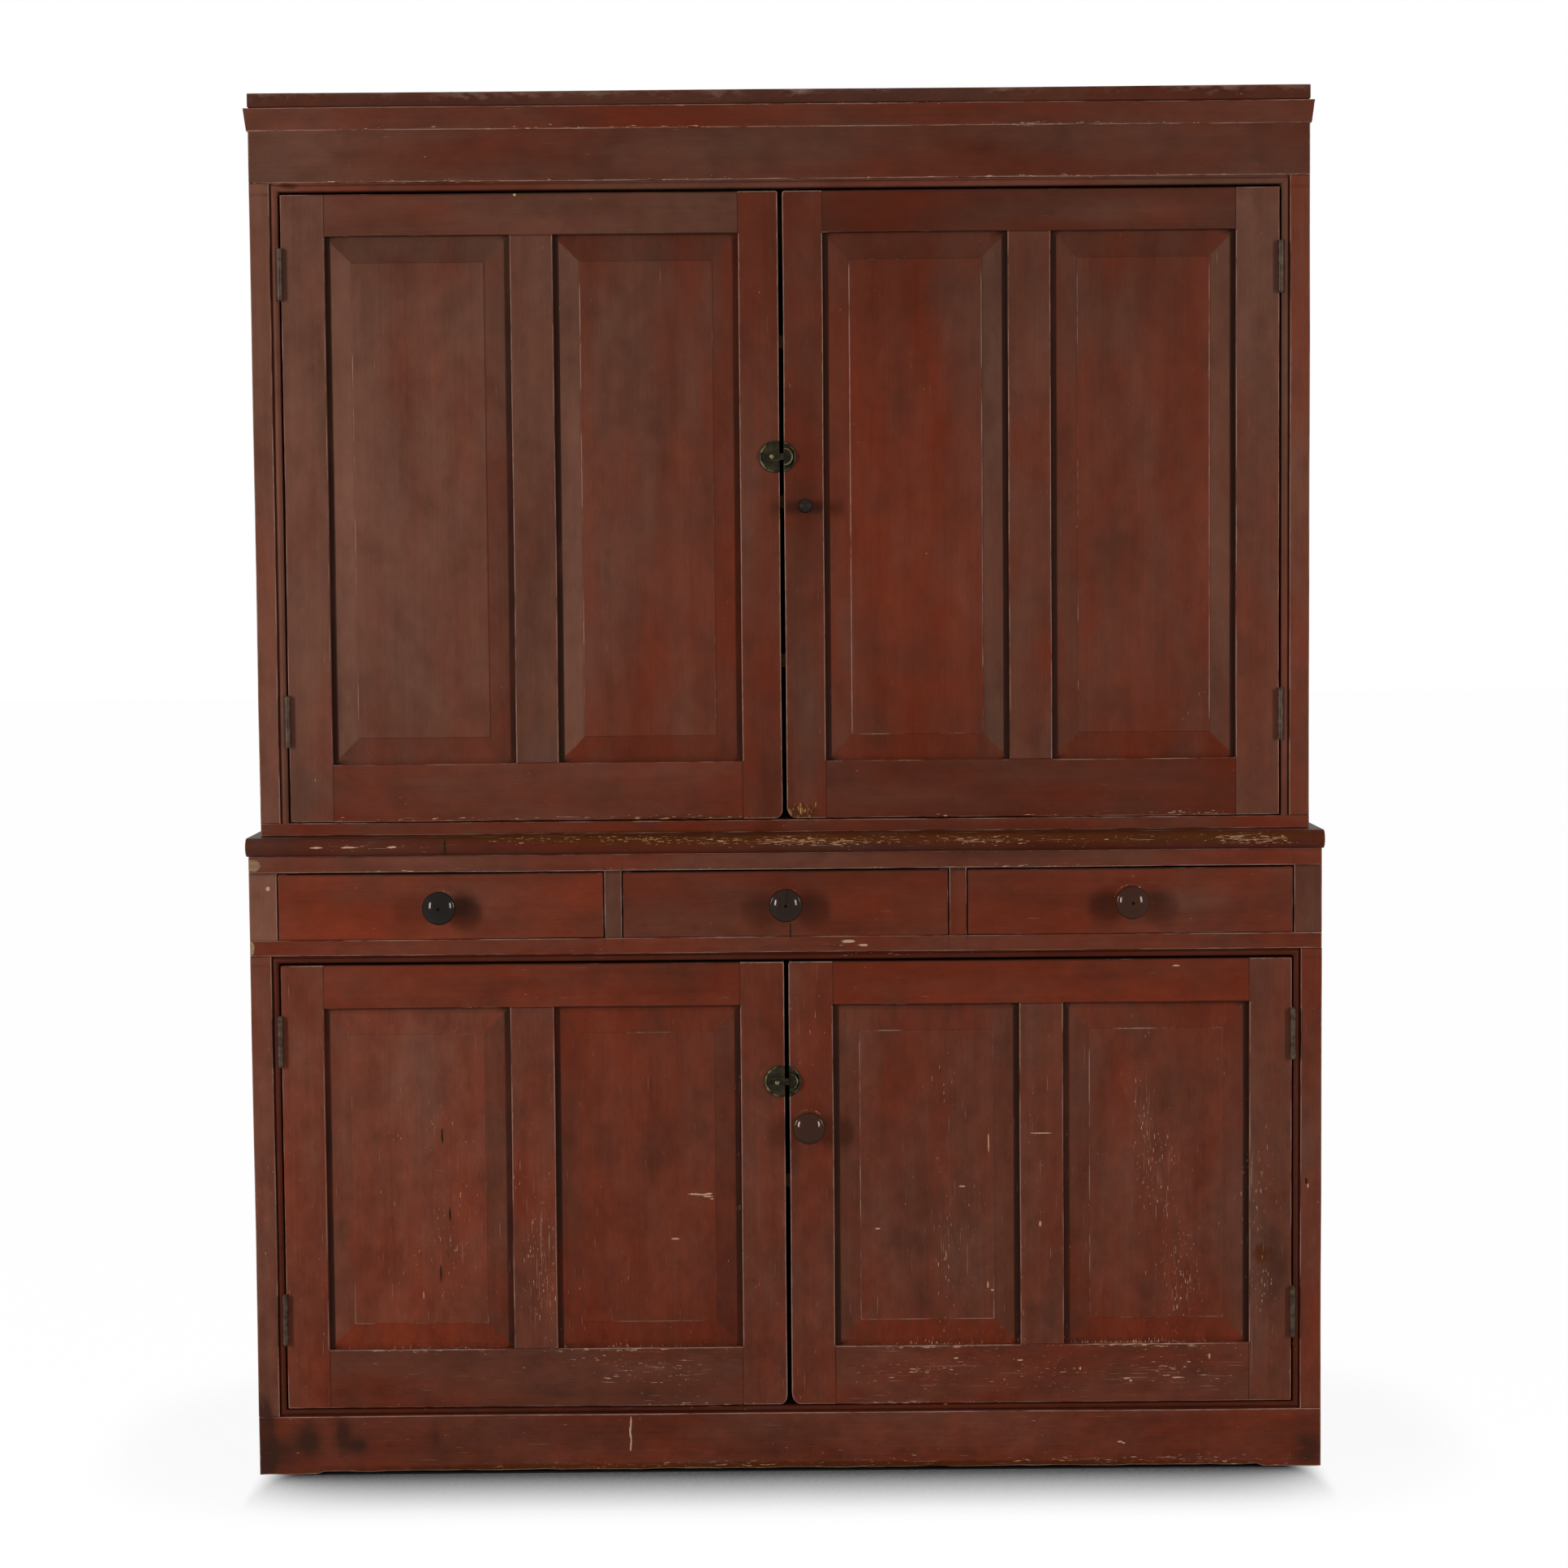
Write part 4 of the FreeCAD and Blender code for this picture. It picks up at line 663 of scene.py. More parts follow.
def board(name, low, high, along, butted=(), bare=None, wear=0.5, worn=(), finer=(), arris=None):
    """A painted board: a rounded box that wanders a little from straight. Butted axes end in joints,
    bare is an axis and sign of an unpainted face, and worn corners are rows of x sign, z sign, reach
    along x and reach along z."""
    centre, half = (low + high) / 2, (high - low) / 2
    radius = np.full(3, size("arris") if arris is None else arris)
    radius[list(butted)] = size("joint")
    lines = [list(finer[axis]) if finer else [] for axis in (X, Y, Z)]
    for axis in (X, Z):
        lines[axis] += [line - centre[axis] for line in mark_lines(low, high, axis)]
    for x_sign, z_sign, reach_x, reach_z in worn:
        lines[Z] += [z_sign * (half[Z] - reach_z * share) for share in (0.04, 0.1, 0.2, 0.35, 0.6, 1)]
        lines[X] += [x_sign * (half[X] - reach_x * share) for share in (0.5, 1, 2)]
    points, faces = rounded_box(half, radius, size("grid"), lines)
    gaps_to_ends = half - np.abs(points)
    gaps = gaps_to_ends.copy()
    gaps[:, list(butted)] = half.max()
    edge = np.sort(gaps, axis=1)[:, 1]
    across = X if along == Z else Z
    grain = points[:, [along, across, Y]]
    unpainted = np.zeros(len(points), bool)
    if bare is not None:
        axis, sign = bare
        unpainted = sign * points[:, axis] > half[axis] - radius[axis] * 0.2
    for x_sign, z_sign, reach_x, reach_z in worn:
        from_end = np.clip((half[Z] - z_sign * points[:, Z]) / reach_z, 0, 1)
        shift = reach_x * (1 - np.sqrt(1 - (1 - from_end) ** 2))
        share = np.clip((half[X] + x_sign * points[:, X]) / (2 * half[X]), 0, 1) ** 2
        points[:, X] -= x_sign * shift * share
    # The face wanders in waves of 330 mm and the edges in waves of 420 mm, less on a short board
    bow = size("bow")
    less = min(1, half[along] / 250)
    points[:, Y] += bow * waves(points[:, along], 330, name + " face") * 0.6
    points[:, across] += bow * waves(points[:, along], 420, name + " edge") * less
    made = painted(points + centre, faces, grain, edge, unpainted, wear, name)
    # Dirt in the joint lines
    for axis in butted:
        made.values["grime_and_shade"] = np.where(gaps_to_ends[:, axis] < 0.6, 0.8, made.values["grime_and_shade"])
    return made


# Materials

def node(tree, kind, settings=None, inputs=None):
    """Adds a node, sets its properties, and feeds its inputs with values or from the outputs of other
    nodes."""
    made = tree.nodes.new(kind)
    for name, value in (settings or {}).items():
        setattr(made, name, value)
    for key, value in (inputs or {}).items():
        if isinstance(value, bpy.types.Node):
            value = next(socket for socket in value.outputs if socket.enabled)
        if isinstance(value, bpy.types.NodeSocket):
            tree.links.new(value, made.inputs[key])
        else:
            made.inputs[key].default_value = value
    return made


def finish_material(name, build):
    """A material of that name, made once: build adds its nodes and returns the inputs of its shader."""
    made = bpy.data.materials.get(name)
    if made is None:
        made = bpy.data.materials.new(name)
        made.use_nodes = True
        made.node_tree.nodes.clear()
        tree = made.node_tree
        shader = node(tree, "ShaderNodeBsdfPrincipled", None, build(tree))
        node(tree, "ShaderNodeOutputMaterial", None, {"Surface": shader})
    return made


# Kinds of node
ATTRIBUTE = "ShaderNodeAttribute"
BUMP = "ShaderNodeBump"
COORDINATES = "ShaderNodeTexCoord"
MAP_RANGE = "ShaderNodeMapRange"
MATH = "ShaderNodeMath"
MIX = "ShaderNodeMix"
NOISE = "ShaderNodeTexNoise"
VECTOR_MATH = "ShaderNodeVectorMath"
# Settings of nodes
ABSOLUTE = {"operation": "ABSOLUTE"}
ADD = {"operation": "ADD"}
MAXIMUM = {"operation": "MAXIMUM"}
MULTIPLY = {"operation": "MULTIPLY"}
MULTIPLY_ADD = {"operation": "MULTIPLY_ADD"}
SCALE = {"operation": "SCALE"}
SUBTRACT = {"operation": "SUBTRACT"}
COLOURS = {"data_type": "RGBA"}
SMOOTH = {"interpolation_type": "SMOOTHSTEP"}
# Sockets of a Mix node that blends colours
FACTOR, FIRST, SECOND = 0, 6, 7
# Colours of the stage
WHITE = (*linear("#FFFFFF"), 1)
PALE = (*linear("#CBCBCB"), 1)
# Values of the points that the paint reads, beside their grain
PAINT_VALUES = (
    "arris", "tone", "chips", "grime_and_shade", "bare", "wear", "depth", "crack", "scratch", "stain", "weather",
)


def painted_pine(tree):
    """Oxide-red oil paint, brushed thin over planed pine and aged. The eye sees red and brown clouds
    drawn out along the grain, brush streaks, rubbed pinkish edges, pale flakes and bare wood in the
    breaks, with a low dull sheen."""
    grain = node(tree, ATTRIBUTE, {"attribute_name": "grain"}).outputs["Vector"]
    value = {
        key: node(tree, ATTRIBUTE, {"attribute_name": key}).outputs["Fac"]
        for key in PAINT_VALUES
    }
    # Sizes of the patterns along and across the grain in millimetres, their detail and their roughness
    sizes = {
        "clouds": (420, 130, 2.0, 0.5),
        "shades": (300, 60, 2.0, 0.5),
        "mottle": (110, 36, 3.0, 0.55),
        "streaks": (260, 5, 3.0, 0.55),
        "blotches": (34, 22, 3.0, 0.6),
        "pores": (14, 2.2, 2.0, 0.5),
        "flakes": (14, 2.0, 3.0, 0.6),
        "checks": (60, 1.8, 2.0, 0.5),
        "clusters": (110, 45, 2.0, 0.5),
        "rubs": (16, 8, 3.0, 0.6),
        "breaks": (75, 60, 2.0, 0.5),
        "rings": (520, 9, 2.0, 0.5),
    }
    noise = {}
    for key, (along, across, detail, rough) in sizes.items():
        scaled = node(tree, VECTOR_MATH, MULTIPLY, {0: grain, 1: (1 / along, 1 / across, 1 / across)})
        settings = {"Vector": scaled, "Scale": 1.0, "Detail": detail, "Roughness": rough}
        noise[key] = node(tree, NOISE, None, settings).outputs["Fac"]

    # Red and brown clouds
    swing = node(tree, MAP_RANGE, None, {0: value["weather"], 3: 0.75, 4: 0.45})
    drift = node(tree, MATH, SUBTRACT, {0: noise["clouds"], 1: 0.5})
    drift = node(tree, MATH, MULTIPLY_ADD, {0: drift, 1: swing, 2: 0.5})
    cloud = node(tree, MATH, SUBTRACT, {0: noise["mottle"], 1: 0.5})
    cloud = node(tree, MATH, MULTIPLY_ADD, {0: cloud, 1: 0.35, 2: drift})
    cloud = node(tree, MATH, ADD, {0: cloud, 1: value["tone"]})
    browned = node(tree, MAP_RANGE, SMOOTH, {0: cloud, 1: 0.2, 2: 0.82})
    hue = node(tree, MIX, COLOURS, {FACTOR: browned, FIRST: shade("red"), SECOND: shade("brown")})
    dark = node(tree, MAP_RANGE, SMOOTH, {0: noise["breaks"], 1: 0.45, 2: 0.8, 4: 0.5})
    hue = node(tree, MIX, COLOURS, {FACTOR: dark, FIRST: hue, SECOND: shade("plum")})
    streak = node(tree, MATH, MULTIPLY_ADD, {0: noise["pores"], 1: 0.7, 2: noise["streaks"]})
    streak = node(tree, MATH, SUBTRACT, {0: streak, 1: 0.85})
    swing = node(tree, MAP_RANGE, None, {0: value["weather"], 3: 0.28, 4: 0.34})
    depth = node(tree, MAP_RANGE, None, {0: noise["shades"], 1: 0.25, 2: 0.75, 3: 0.82, 4: 1.18})
    depth = node(tree, MATH, MULTIPLY_ADD, {0: streak, 1: swing, 2: depth})
    swing = node(tree, MAP_RANGE, None, {0: value["weather"], 3: 0.5, 4: 0.9})
    blotch = node(tree, MATH, SUBTRACT, {0: noise["blotches"], 1: 0.5})
    depth = node(tree, MATH, MULTIPLY_ADD, {0: blotch, 1: swing, 2: depth})
    aged = node(tree, MATH, MULTIPLY, {0: depth, 1: value["depth"]})
    hue = node(tree, VECTOR_MATH, SCALE, {0: hue, "Scale": aged})
    # Dirt, and painted shade in the grooves, the gaps and the cast shadows beside the knobs, the peg and the
    # catches
    grimed_and_shaded = node(tree, MATH, MULTIPLY, {0: value["grime_and_shade"], 1: noise["mottle"]})
    grimed_and_shaded = node(tree, MAP_RANGE, SMOOTH, {0: grimed_and_shaded, 1: 0.0, 2: 0.5, 4: 0.9})
    hue = node(tree, MIX, COLOURS, {FACTOR: grimed_and_shaded, FIRST: hue, SECOND: shade("grime_and_shade")})

    # Brown varnish and handled wood
    stained = node(tree, MATH, MULTIPLY_ADD, {0: noise["rubs"], 1: 0.9, 2: value["stain"]})
    stained = node(tree, MAP_RANGE, SMOOTH, {0: stained, 1: 0.7, 2: 1.2, 4: 0.9})
    varnish = node(tree, VECTOR_MATH, SCALE, {0: shade("varnish")[:3], "Scale": depth})
    hue = node(tree, MIX, COLOURS, {FACTOR: stained, FIRST: hue, SECOND: varnish})

    # Hair cracks along the grain, where the paint is thin
    check = node(tree, MATH, MULTIPLY_ADD, {0: value["weather"], 1: 0.04, 2: noise["checks"]})
    check = node(tree, MATH, MULTIPLY_ADD, {0: value["chips"], 1: 0.1, 2: check})
    check = node(tree, MAP_RANGE, SMOOTH, {0: check, 1: 0.74, 2: 0.85, 4: 0.6})
    hue = node(tree, MIX, COLOURS, {FACTOR: check, FIRST: hue, SECOND: shade("rubbed")})

    # Edges rubbed through in dashes, which also paint the glints of the lamps on the rounded edges
    ragged = node(tree, MATH, MULTIPLY_ADD, {0: noise["rubs"], 1: 2.4, 2: value["arris"]})
    rubbed = node(tree, MAP_RANGE, SMOOTH, {0: ragged, 1: 3.1, 2: 1.9})
    gate = node(tree, MATH, MULTIPLY_ADD, {0: noise["breaks"], 1: 1.6, 2: value["wear"]})
    gate = node(tree, MATH, MULTIPLY_ADD, {0: noise["rubs"], 1: 0.8, 2: gate})
    gate = node(tree, MAP_RANGE, SMOOTH, {0: gate, 1: 1.5, 2: 1.95})
    rubbed = node(tree, MATH, MULTIPLY, {0: rubbed, 1: gate})
    rubbed = node(tree, MATH, MULTIPLY, {0: rubbed, 1: 0.75})
    hue = node(tree, MIX, COLOURS, {FACTOR: rubbed, FIRST: hue, SECOND: shade("rubbed")})

    # Flakes, which crowd near edges and in the patches that the points name
    near = node(tree, MAP_RANGE, SMOOTH, {0: value["arris"], 1: 7.0, 2: 0.0, 4: 0.04})
    near = node(tree, MATH, MULTIPLY, {0: near, 1: value["wear"]})
    crowd = node(tree, MATH, MULTIPLY_ADD, {0: value["chips"], 1: 0.13, 2: near})
    crowd = node(tree, MATH, MULTIPLY_ADD, {0: noise["clusters"], 1: 0.18, 2: crowd})
    crowd = node(tree, MATH, MULTIPLY_ADD, {0: value["weather"], 1: 0.03, 2: crowd})
    crowd = node(tree, MATH, ADD, {0: crowd, 1: noise["flakes"]})
    flaked = node(tree, MAP_RANGE, SMOOTH, {0: crowd, 1: 0.858, 2: 0.88})
    pale = node(tree, MIX, COLOURS, {FACTOR: stained, FIRST: shade("chip"), SECOND: shade("tan")})
    hue = node(tree, MIX, COLOURS, {FACTOR: flaked, FIRST: hue, SECOND: pale})

    # Single scratches and cracks, with rough edges; the crack colour here also paints the shadow line at the
    # step of each panel field
    for key, tint in (("scratch", "chip"), ("crack", "crack")):
        edge = node(tree, MATH, ADD, {0: noise["flakes"], 1: value[key]})
        edge = node(tree, MAP_RANGE, SMOOTH, {0: edge, 1: 0.9, 2: 1.06})
        hue = node(tree, MIX, COLOURS, {FACTOR: edge, FIRST: hue, SECOND: shade(tint)})

    # Bare pine where there is no paint
    ring = node(tree, MAP_RANGE, SMOOTH, {0: noise["rings"], 1: 0.36, 2: 0.68, 4: 0.7})
    wood = node(tree, MIX, COLOURS, {FACTOR: ring, FIRST: shade("bared"), SECOND: shade("pine_dark")})
    wood = node(tree, VECTOR_MATH, SCALE, {0: wood, "Scale": depth})
    open_wood = node(tree, MATH, MULTIPLY_ADD, {0: noise["rubs"], 1: 0.5, 2: value["bare"]})
    open_wood = node(tree, MAP_RANGE, SMOOTH, {0: open_wood, 1: 0.62, 2: 0.8})
    hue = node(tree, MIX, COLOURS, {FACTOR: open_wood, FIRST: hue, SECOND: wood})

    # Sheen and relief
    rough = node(tree, MAP_RANGE, None, {0: noise["streaks"], 1: 0.3, 2: 0.7, 3: 0.44, 4: 0.6})
    rough = node(tree, MATH, MULTIPLY_ADD, {0: flaked, 1: 0.25, 2: rough})
    relief = node(tree, MATH, MULTIPLY_ADD, {0: flaked, 1: -0.8, 2: noise["pores"]})
    relief = node(tree, MATH, ADD, {0: relief, 1: noise["streaks"]})
    bump = node(tree, BUMP, None, {"Strength": 0.35, "Distance": 0.25 * MM, "Height": relief})
    return {"Base Color": hue, "Roughness": rough, "Normal": bump, "Specular IOR Level": 0.2,
            "Specular Tint": (*linear("#FFBCA0"), 1)}


def bare_pine(tree, along):
    """Unpainted pine, sawn and planed and gone brown with age. The eye sees long dark rings along the
    board, fine pores and a dry dull face."""
    place = node(tree, COORDINATES).outputs["Object"]
    # Sizes of the patterns along and across the board, in millimetres
    patterns = {}
    for key, run, width in (("rings", 700, 12), ("pores", 26, 1.8), ("clouds", 300, 90)):
        scale = [1 / (width * MM)] * 3
        scale[along] = 1 / (run * MM)
        scaled = node(tree, VECTOR_MATH, MULTIPLY, {0: place, 1: scale})
        settings = {"Vector": scaled, "Scale": 1.0, "Detail": 2.0}
        patterns[key] = node(tree, NOISE, None, settings).outputs["Fac"]
    ring = node(tree, MAP_RANGE, SMOOTH, {0: patterns["rings"], 1: 0.36, 2: 0.68, 4: 0.7})
    hue = node(tree, MIX, COLOURS, {FACTOR: ring, FIRST: shade("pine_light"), SECOND: shade("pine_dark")})
    depth = node(tree, MATH, ADD, {0: patterns["pores"], 1: patterns["clouds"]})
    depth = node(tree, MAP_RANGE, None, {0: depth, 1: 0.6, 2: 1.4, 3: 0.78, 4: 1.15})
    aging = node(tree, ATTRIBUTE, {"attribute_name": "aging"}).outputs["Fac"]
    depth = node(tree, MATH, ADD, {0: depth, 1: aging})
    hue = node(tree, VECTOR_MATH, SCALE, {0: hue, "Scale": depth})
    rough = node(tree, MAP_RANGE, None, {0: patterns["pores"], 1: 0.3, 2: 0.7, 3: 0.6, 4: 0.8})
    bump = node(tree, BUMP, None, {"Strength": 0.4, "Distance": 0.2 * MM, "Height": depth})
    return {"Base Color": hue, "Roughness": rough, "Normal": bump, "Specular IOR Level": 0.25}


def cast_iron(tree, tint):
    """Cast iron, browned by age and once brushed with paint. The eye sees a dark olive-brown skin, a
    fine cast grain, and rims worn bright that also carry painted highlights."""
    place = node(tree, COORDINATES).outputs["Object"]
    # Cast grain of 1.2 mm and rust clouds of 9 mm
    cast = node(tree, NOISE, None, {"Vector": place, "Scale": 1 / (1.2 * MM), "Detail": 2.0}).outputs["Fac"]
    rust = node(tree, NOISE, None, {"Vector": place, "Scale": 1 / (9 * MM), "Detail": 3.0}).outputs["Fac"]
    mixed = node(tree, MAP_RANGE, SMOOTH, {0: rust, 1: 0.35, 2: 0.7})
    dark, light = shade(f"{tint}_dark"), shade(f"{tint}_light")
    hue = node(tree, MIX, COLOURS, {FACTOR: mixed, FIRST: dark, SECOND: light})
    # Crests worn bright, and painted brighter still as highlights where the lamps would glint
    rubbed = node(tree, ATTRIBUTE, {"attribute_name": "rubbed"}).outputs["Fac"]
    rubbed = node(tree, MATH, MULTIPLY, {0: rubbed, 1: mixed})
    hue = node(tree, MIX, COLOURS, {FACTOR: rubbed, FIRST: hue, SECOND: shade("iron_bright_and_glint")})
    rough = node(tree, MAP_RANGE, None, {0: rust, 1: 0.3, 2: 0.7, 3: 0.3, 4: 0.5})
    bump = node(tree, BUMP, None, {"Strength": 0.4, "Distance": 0.15 * MM, "Height": cast})
    return {"Base Color": hue, "Roughness": rough, "Normal": bump, "Metallic": 0.2,
            "Specular IOR Level": 0.15}


def turned_wood(tree):
    """Turned hardwood, stained dark and polished by hands. The eye sees a nearly black or dark brown
    gloss with a faint grain, small scratches in the highlights and dirt in the eye and the cracks."""
    place = node(tree, COORDINATES).outputs["Object"]
    tint = node(tree, ATTRIBUTE, {"attribute_name": "tint"}).outputs["Fac"]
    dirt = node(tree, ATTRIBUTE, {"attribute_name": "grime_and_shade"}).outputs["Fac"]
    # Grain lines 1.5 mm wide and 25 mm long, across the axis of the knob
    scale = (1 / (1.5 * MM), 1 / (6 * MM), 1 / (25 * MM))
    scaled = node(tree, VECTOR_MATH, MULTIPLY, {0: place, 1: scale})
    lines = node(tree, NOISE, None, {"Vector": scaled, "Scale": 1.0, "Detail": 3.0}).outputs["Fac"]
    worn = node(tree, NOISE, None, {"Vector": place, "Scale": 1 / (7 * MM), "Detail": 3.0}).outputs["Fac"]
    browner = node(tree, MATH, MULTIPLY_ADD, {0: lines, 1: 0.5, 2: tint})
    browner = node(tree, MAP_RANGE, SMOOTH, {0: browner, 1: 0.2, 2: 1.2})
    hue = node(tree, MIX, COLOURS, {FACTOR: browner, FIRST: shade("knob_black"), SECOND: shade("knob_brown")})
    hue = node(tree, MIX, COLOURS, {FACTOR: dirt, FIRST: hue, SECOND: shade("grime_and_shade")})
    rough = node(tree, MAP_RANGE, None, {0: worn, 1: 0.3, 2: 0.75, 3: 0.05, 4: 0.12})
    rough = node(tree, MATH, MULTIPLY_ADD, {0: dirt, 1: 0.5, 2: rough})
    bump = node(tree, BUMP, None, {"Strength": 0.25, "Distance": 0.1 * MM, "Height": lines})
    return {"Base Color": hue, "Roughness": rough, "Normal": bump, "IOR": 1.3,
            "Specular IOR Level": 0.45, "Specular Tint": (*linear("#FFEEDD"), 1)}


# Pieces

# Angle between faces, in degrees, past which an edge is shaded sharp
SHARP = 35
# Distance from a worn edge at which paint is whole
UNWORN = 60
# Face of a board that is left bare: the one at its back
BACK = (Y, 1)
# Options of a step that a user can take back
UNDOABLE = {"REGISTER", "UNDO"}


def add_piece(name, surface, body, replaced, material, sharp=SHARP):
    """Makes an object of a surface, shades it smooth up to an angle, and ties it to its body and CAD nodes."""
    mesh = bpy.data.meshes.new(name)
    mesh.from_pydata((surface.points * MM).tolist(), [], surface.faces)
    for key, values in surface.values.items():
        kind, field = ("FLOAT_VECTOR", "vector") if values.ndim == 2 else ("FLOAT", "value")
        attribute = mesh.attributes.new(key, kind, "POINT")
        attribute.data.foreach_set(field, values.astype(np.float32).ravel())
    mesh.shade_smooth()
    mesh.set_sharp_from_angle(angle=math.radians(sharp))
    mesh.materials.append(material)
    made = bpy.data.objects.new(name, mesh)
    bpy.context.scene.collection.objects.link(made)
    weighted = made.modifiers.new("Even shading", "WEIGHTED_NORMAL")
    weighted.keep_sharp = True
    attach(made, body)
    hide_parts(*replaced)
    return made


def add_painted(node_name, surface, body, sharp=SHARP):
    """A painted piece that stands for one CAD node."""
    material = finish_material("aged_red_paint", painted_pine)
    return add_piece(f"{node_name}_painted", surface, body, [node_name], material, sharp)


def add_turned(node_name, surface, body):
    """A turned piece that stands for one CAD node."""
    material = finish_material("polished_turned_wood", turned_wood)
    return add_piece(f"{node_name}_turned", surface, body, [node_name], material)


def keep_node(name, material, bevel=0):
    """Gives a CAD node a finish, with its edges eased where a bevel width is given."""
    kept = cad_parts[name]
    kept.data.materials.clear()
    kept.data.materials.append(material)
    if bevel:
        weld = kept.modifiers.new("Weld", "WELD")
        weld.merge_threshold = 0.01 * MM
        eased = kept.modifiers.new("Eased edges", "BEVEL")
        eased.width = bevel * MM
        eased.segments = 2
        eased.limit_method = "ANGLE"
        eased.harden_normals = True


def tighten(surface, axis, edge, along, spans, face):
    """Draws the rounding of a front edge in where other boards butt against it, and leaves it unworn
    there."""
    beside, behind, rounded, drawn = 9, 5, 1.8, 0.8
    points = surface.points
    inside = [(points[:, along] > start) & (points[:, along] < finish) for start, finish in spans]
    away = np.abs(points[:, axis] - edge)
    near = np.any(inside, axis=0) & (away < beside) & (points[:, Y] < face + behind)
    surface.values["arris"][near] = UNWORN
    rounding = near & (away < rounded) & (points[:, Y] < face + rounded)
    points[rounding, axis] += drawn * (edge - points[rounding, axis])
    points[rounding, Y] += drawn * (face - points[rounding, Y])


def steps_along(span):
    """The number of grid steps along a span."""
    return max(1, round(span / size("grid")))


class PRESS_OT_crown(bpy.types.Operator):
    """Dress the cap board, the cornice and the frieze"""

    bl_idname = "press.crown"
    bl_label = "Crown"
    bl_options = UNDOABLE

    def execute(self, context):
        self.cap()
        self.cornice()
        frieze = board("frieze", *box("frieze_board"), X, bare=BACK, wear=0.65)
        add_painted("frieze_board", frieze, "carcase")
        return {"FINISHED"}

    def cap(self):
        """The cap board: a profile with a chamfer at its foot and an eased head, carried round the
        board."""
        low, high = box("cap_board")
        chamfer, eased = size("cap_chamfer"), size("arris")
        profile = [(chamfer, low[Z]), (0, low[Z] + chamfer), (0, high[Z] - eased)]
        profile += [(eased * 0.3, high[Z] - eased * 0.3), (eased, high[Z])]
        points, faces = terraced((low[X], high[X]), (low[Y], high[Y]), profile, size("grid"))
        gaps = np.minimum(points[:, Y] - low[Y], np.minimum(points[:, X] - low[X], high[X] - points[:, X]))
        edge = np.maximum(np.minimum(high[Z] - points[:, Z], points[:, Z] - low[Z]), gaps)
        grain = (points - (low + high) / 2)[:, [X, Z, Y]]
        top = points[:, Z] > high[Z] - eased * 0.1
        under = points[:, Z] < low[Z] + chamfer * 0.9
        sag = size("bow") * 2 * waves(points[:, X], 900, "cap sag")
        points[:, Z] += sag * (points[:, Z] - low[Z]) / (high[Z] - low[Z])
        cap = painted(points, faces, grain, edge, top, 0.45, "cap")
        # Painted shade under the chamfer of the cap, over the cornice
        cap.values["grime_and_shade"] = np.where(under, 1, cap.values["grime_and_shade"])
        add_painted("cap_board", cap, "carcase")

    def cornice(self):
        """The cornice: a section that leans out from its foot to its head, carried along three sides
        with mitres."""
        low, high = box("cornice_moulding")
        near_low, near_high = box("frieze_board")
        reach = high[X] - near_high[X]
        foot = size("cornice_foot")
        lean = (reach - foot) / (high[Z] - low[Z])
        section = [(0, low[Z]), (foot - 0.6, low[Z]), (foot, low[Z] + 0.6)]
        section += [(foot + lean * rise, low[Z] + rise) for rise in (3, 9, 16, 24, 30)]
        section += [(reach, high[Z] - 1.2), (reach - 0.5, high[Z] - 0.2)]
        section += [(reach - 1.2, high[Z]), (0, high[Z])]
        out, level = np.array(section).T
        left, right, front, back = near_low[X], near_high[X], near_low[Y], high[Y]
        turns = ((left, -1, back, 0), (left, -1, front, -1), (right, 1, front, -1), (right, 1, back, 0))
        corners = []
        for x, x_sign, y, y_sign in turns:
            corners.append(np.stack([x + x_sign * out, y + y_sign * out, level], axis=-1))
        deep, wide = steps_along(high[Y] - low[Y]), steps_along(high[X] - low[X])
        points, faces = swept(corners, (deep, wide, deep))
        edge = np.minimum(points[:, Z] - low[Z], high[Z] - points[:, Z])
        ahead = points[:, Y] < near_low[Y] + 0.1
        grain = np.where(ahead[:, None], points[:, [X, Z, Y]], points[:, [Y, Z, X]])
        points[:, Z] += size("bow") * waves(points[:, X], 500, "cornice")
        cornice = painted(points, faces, grain, edge, np.zeros(len(points), bool), 0.6, "cornice")
        add_painted("cornice_moulding", cornice, "carcase")


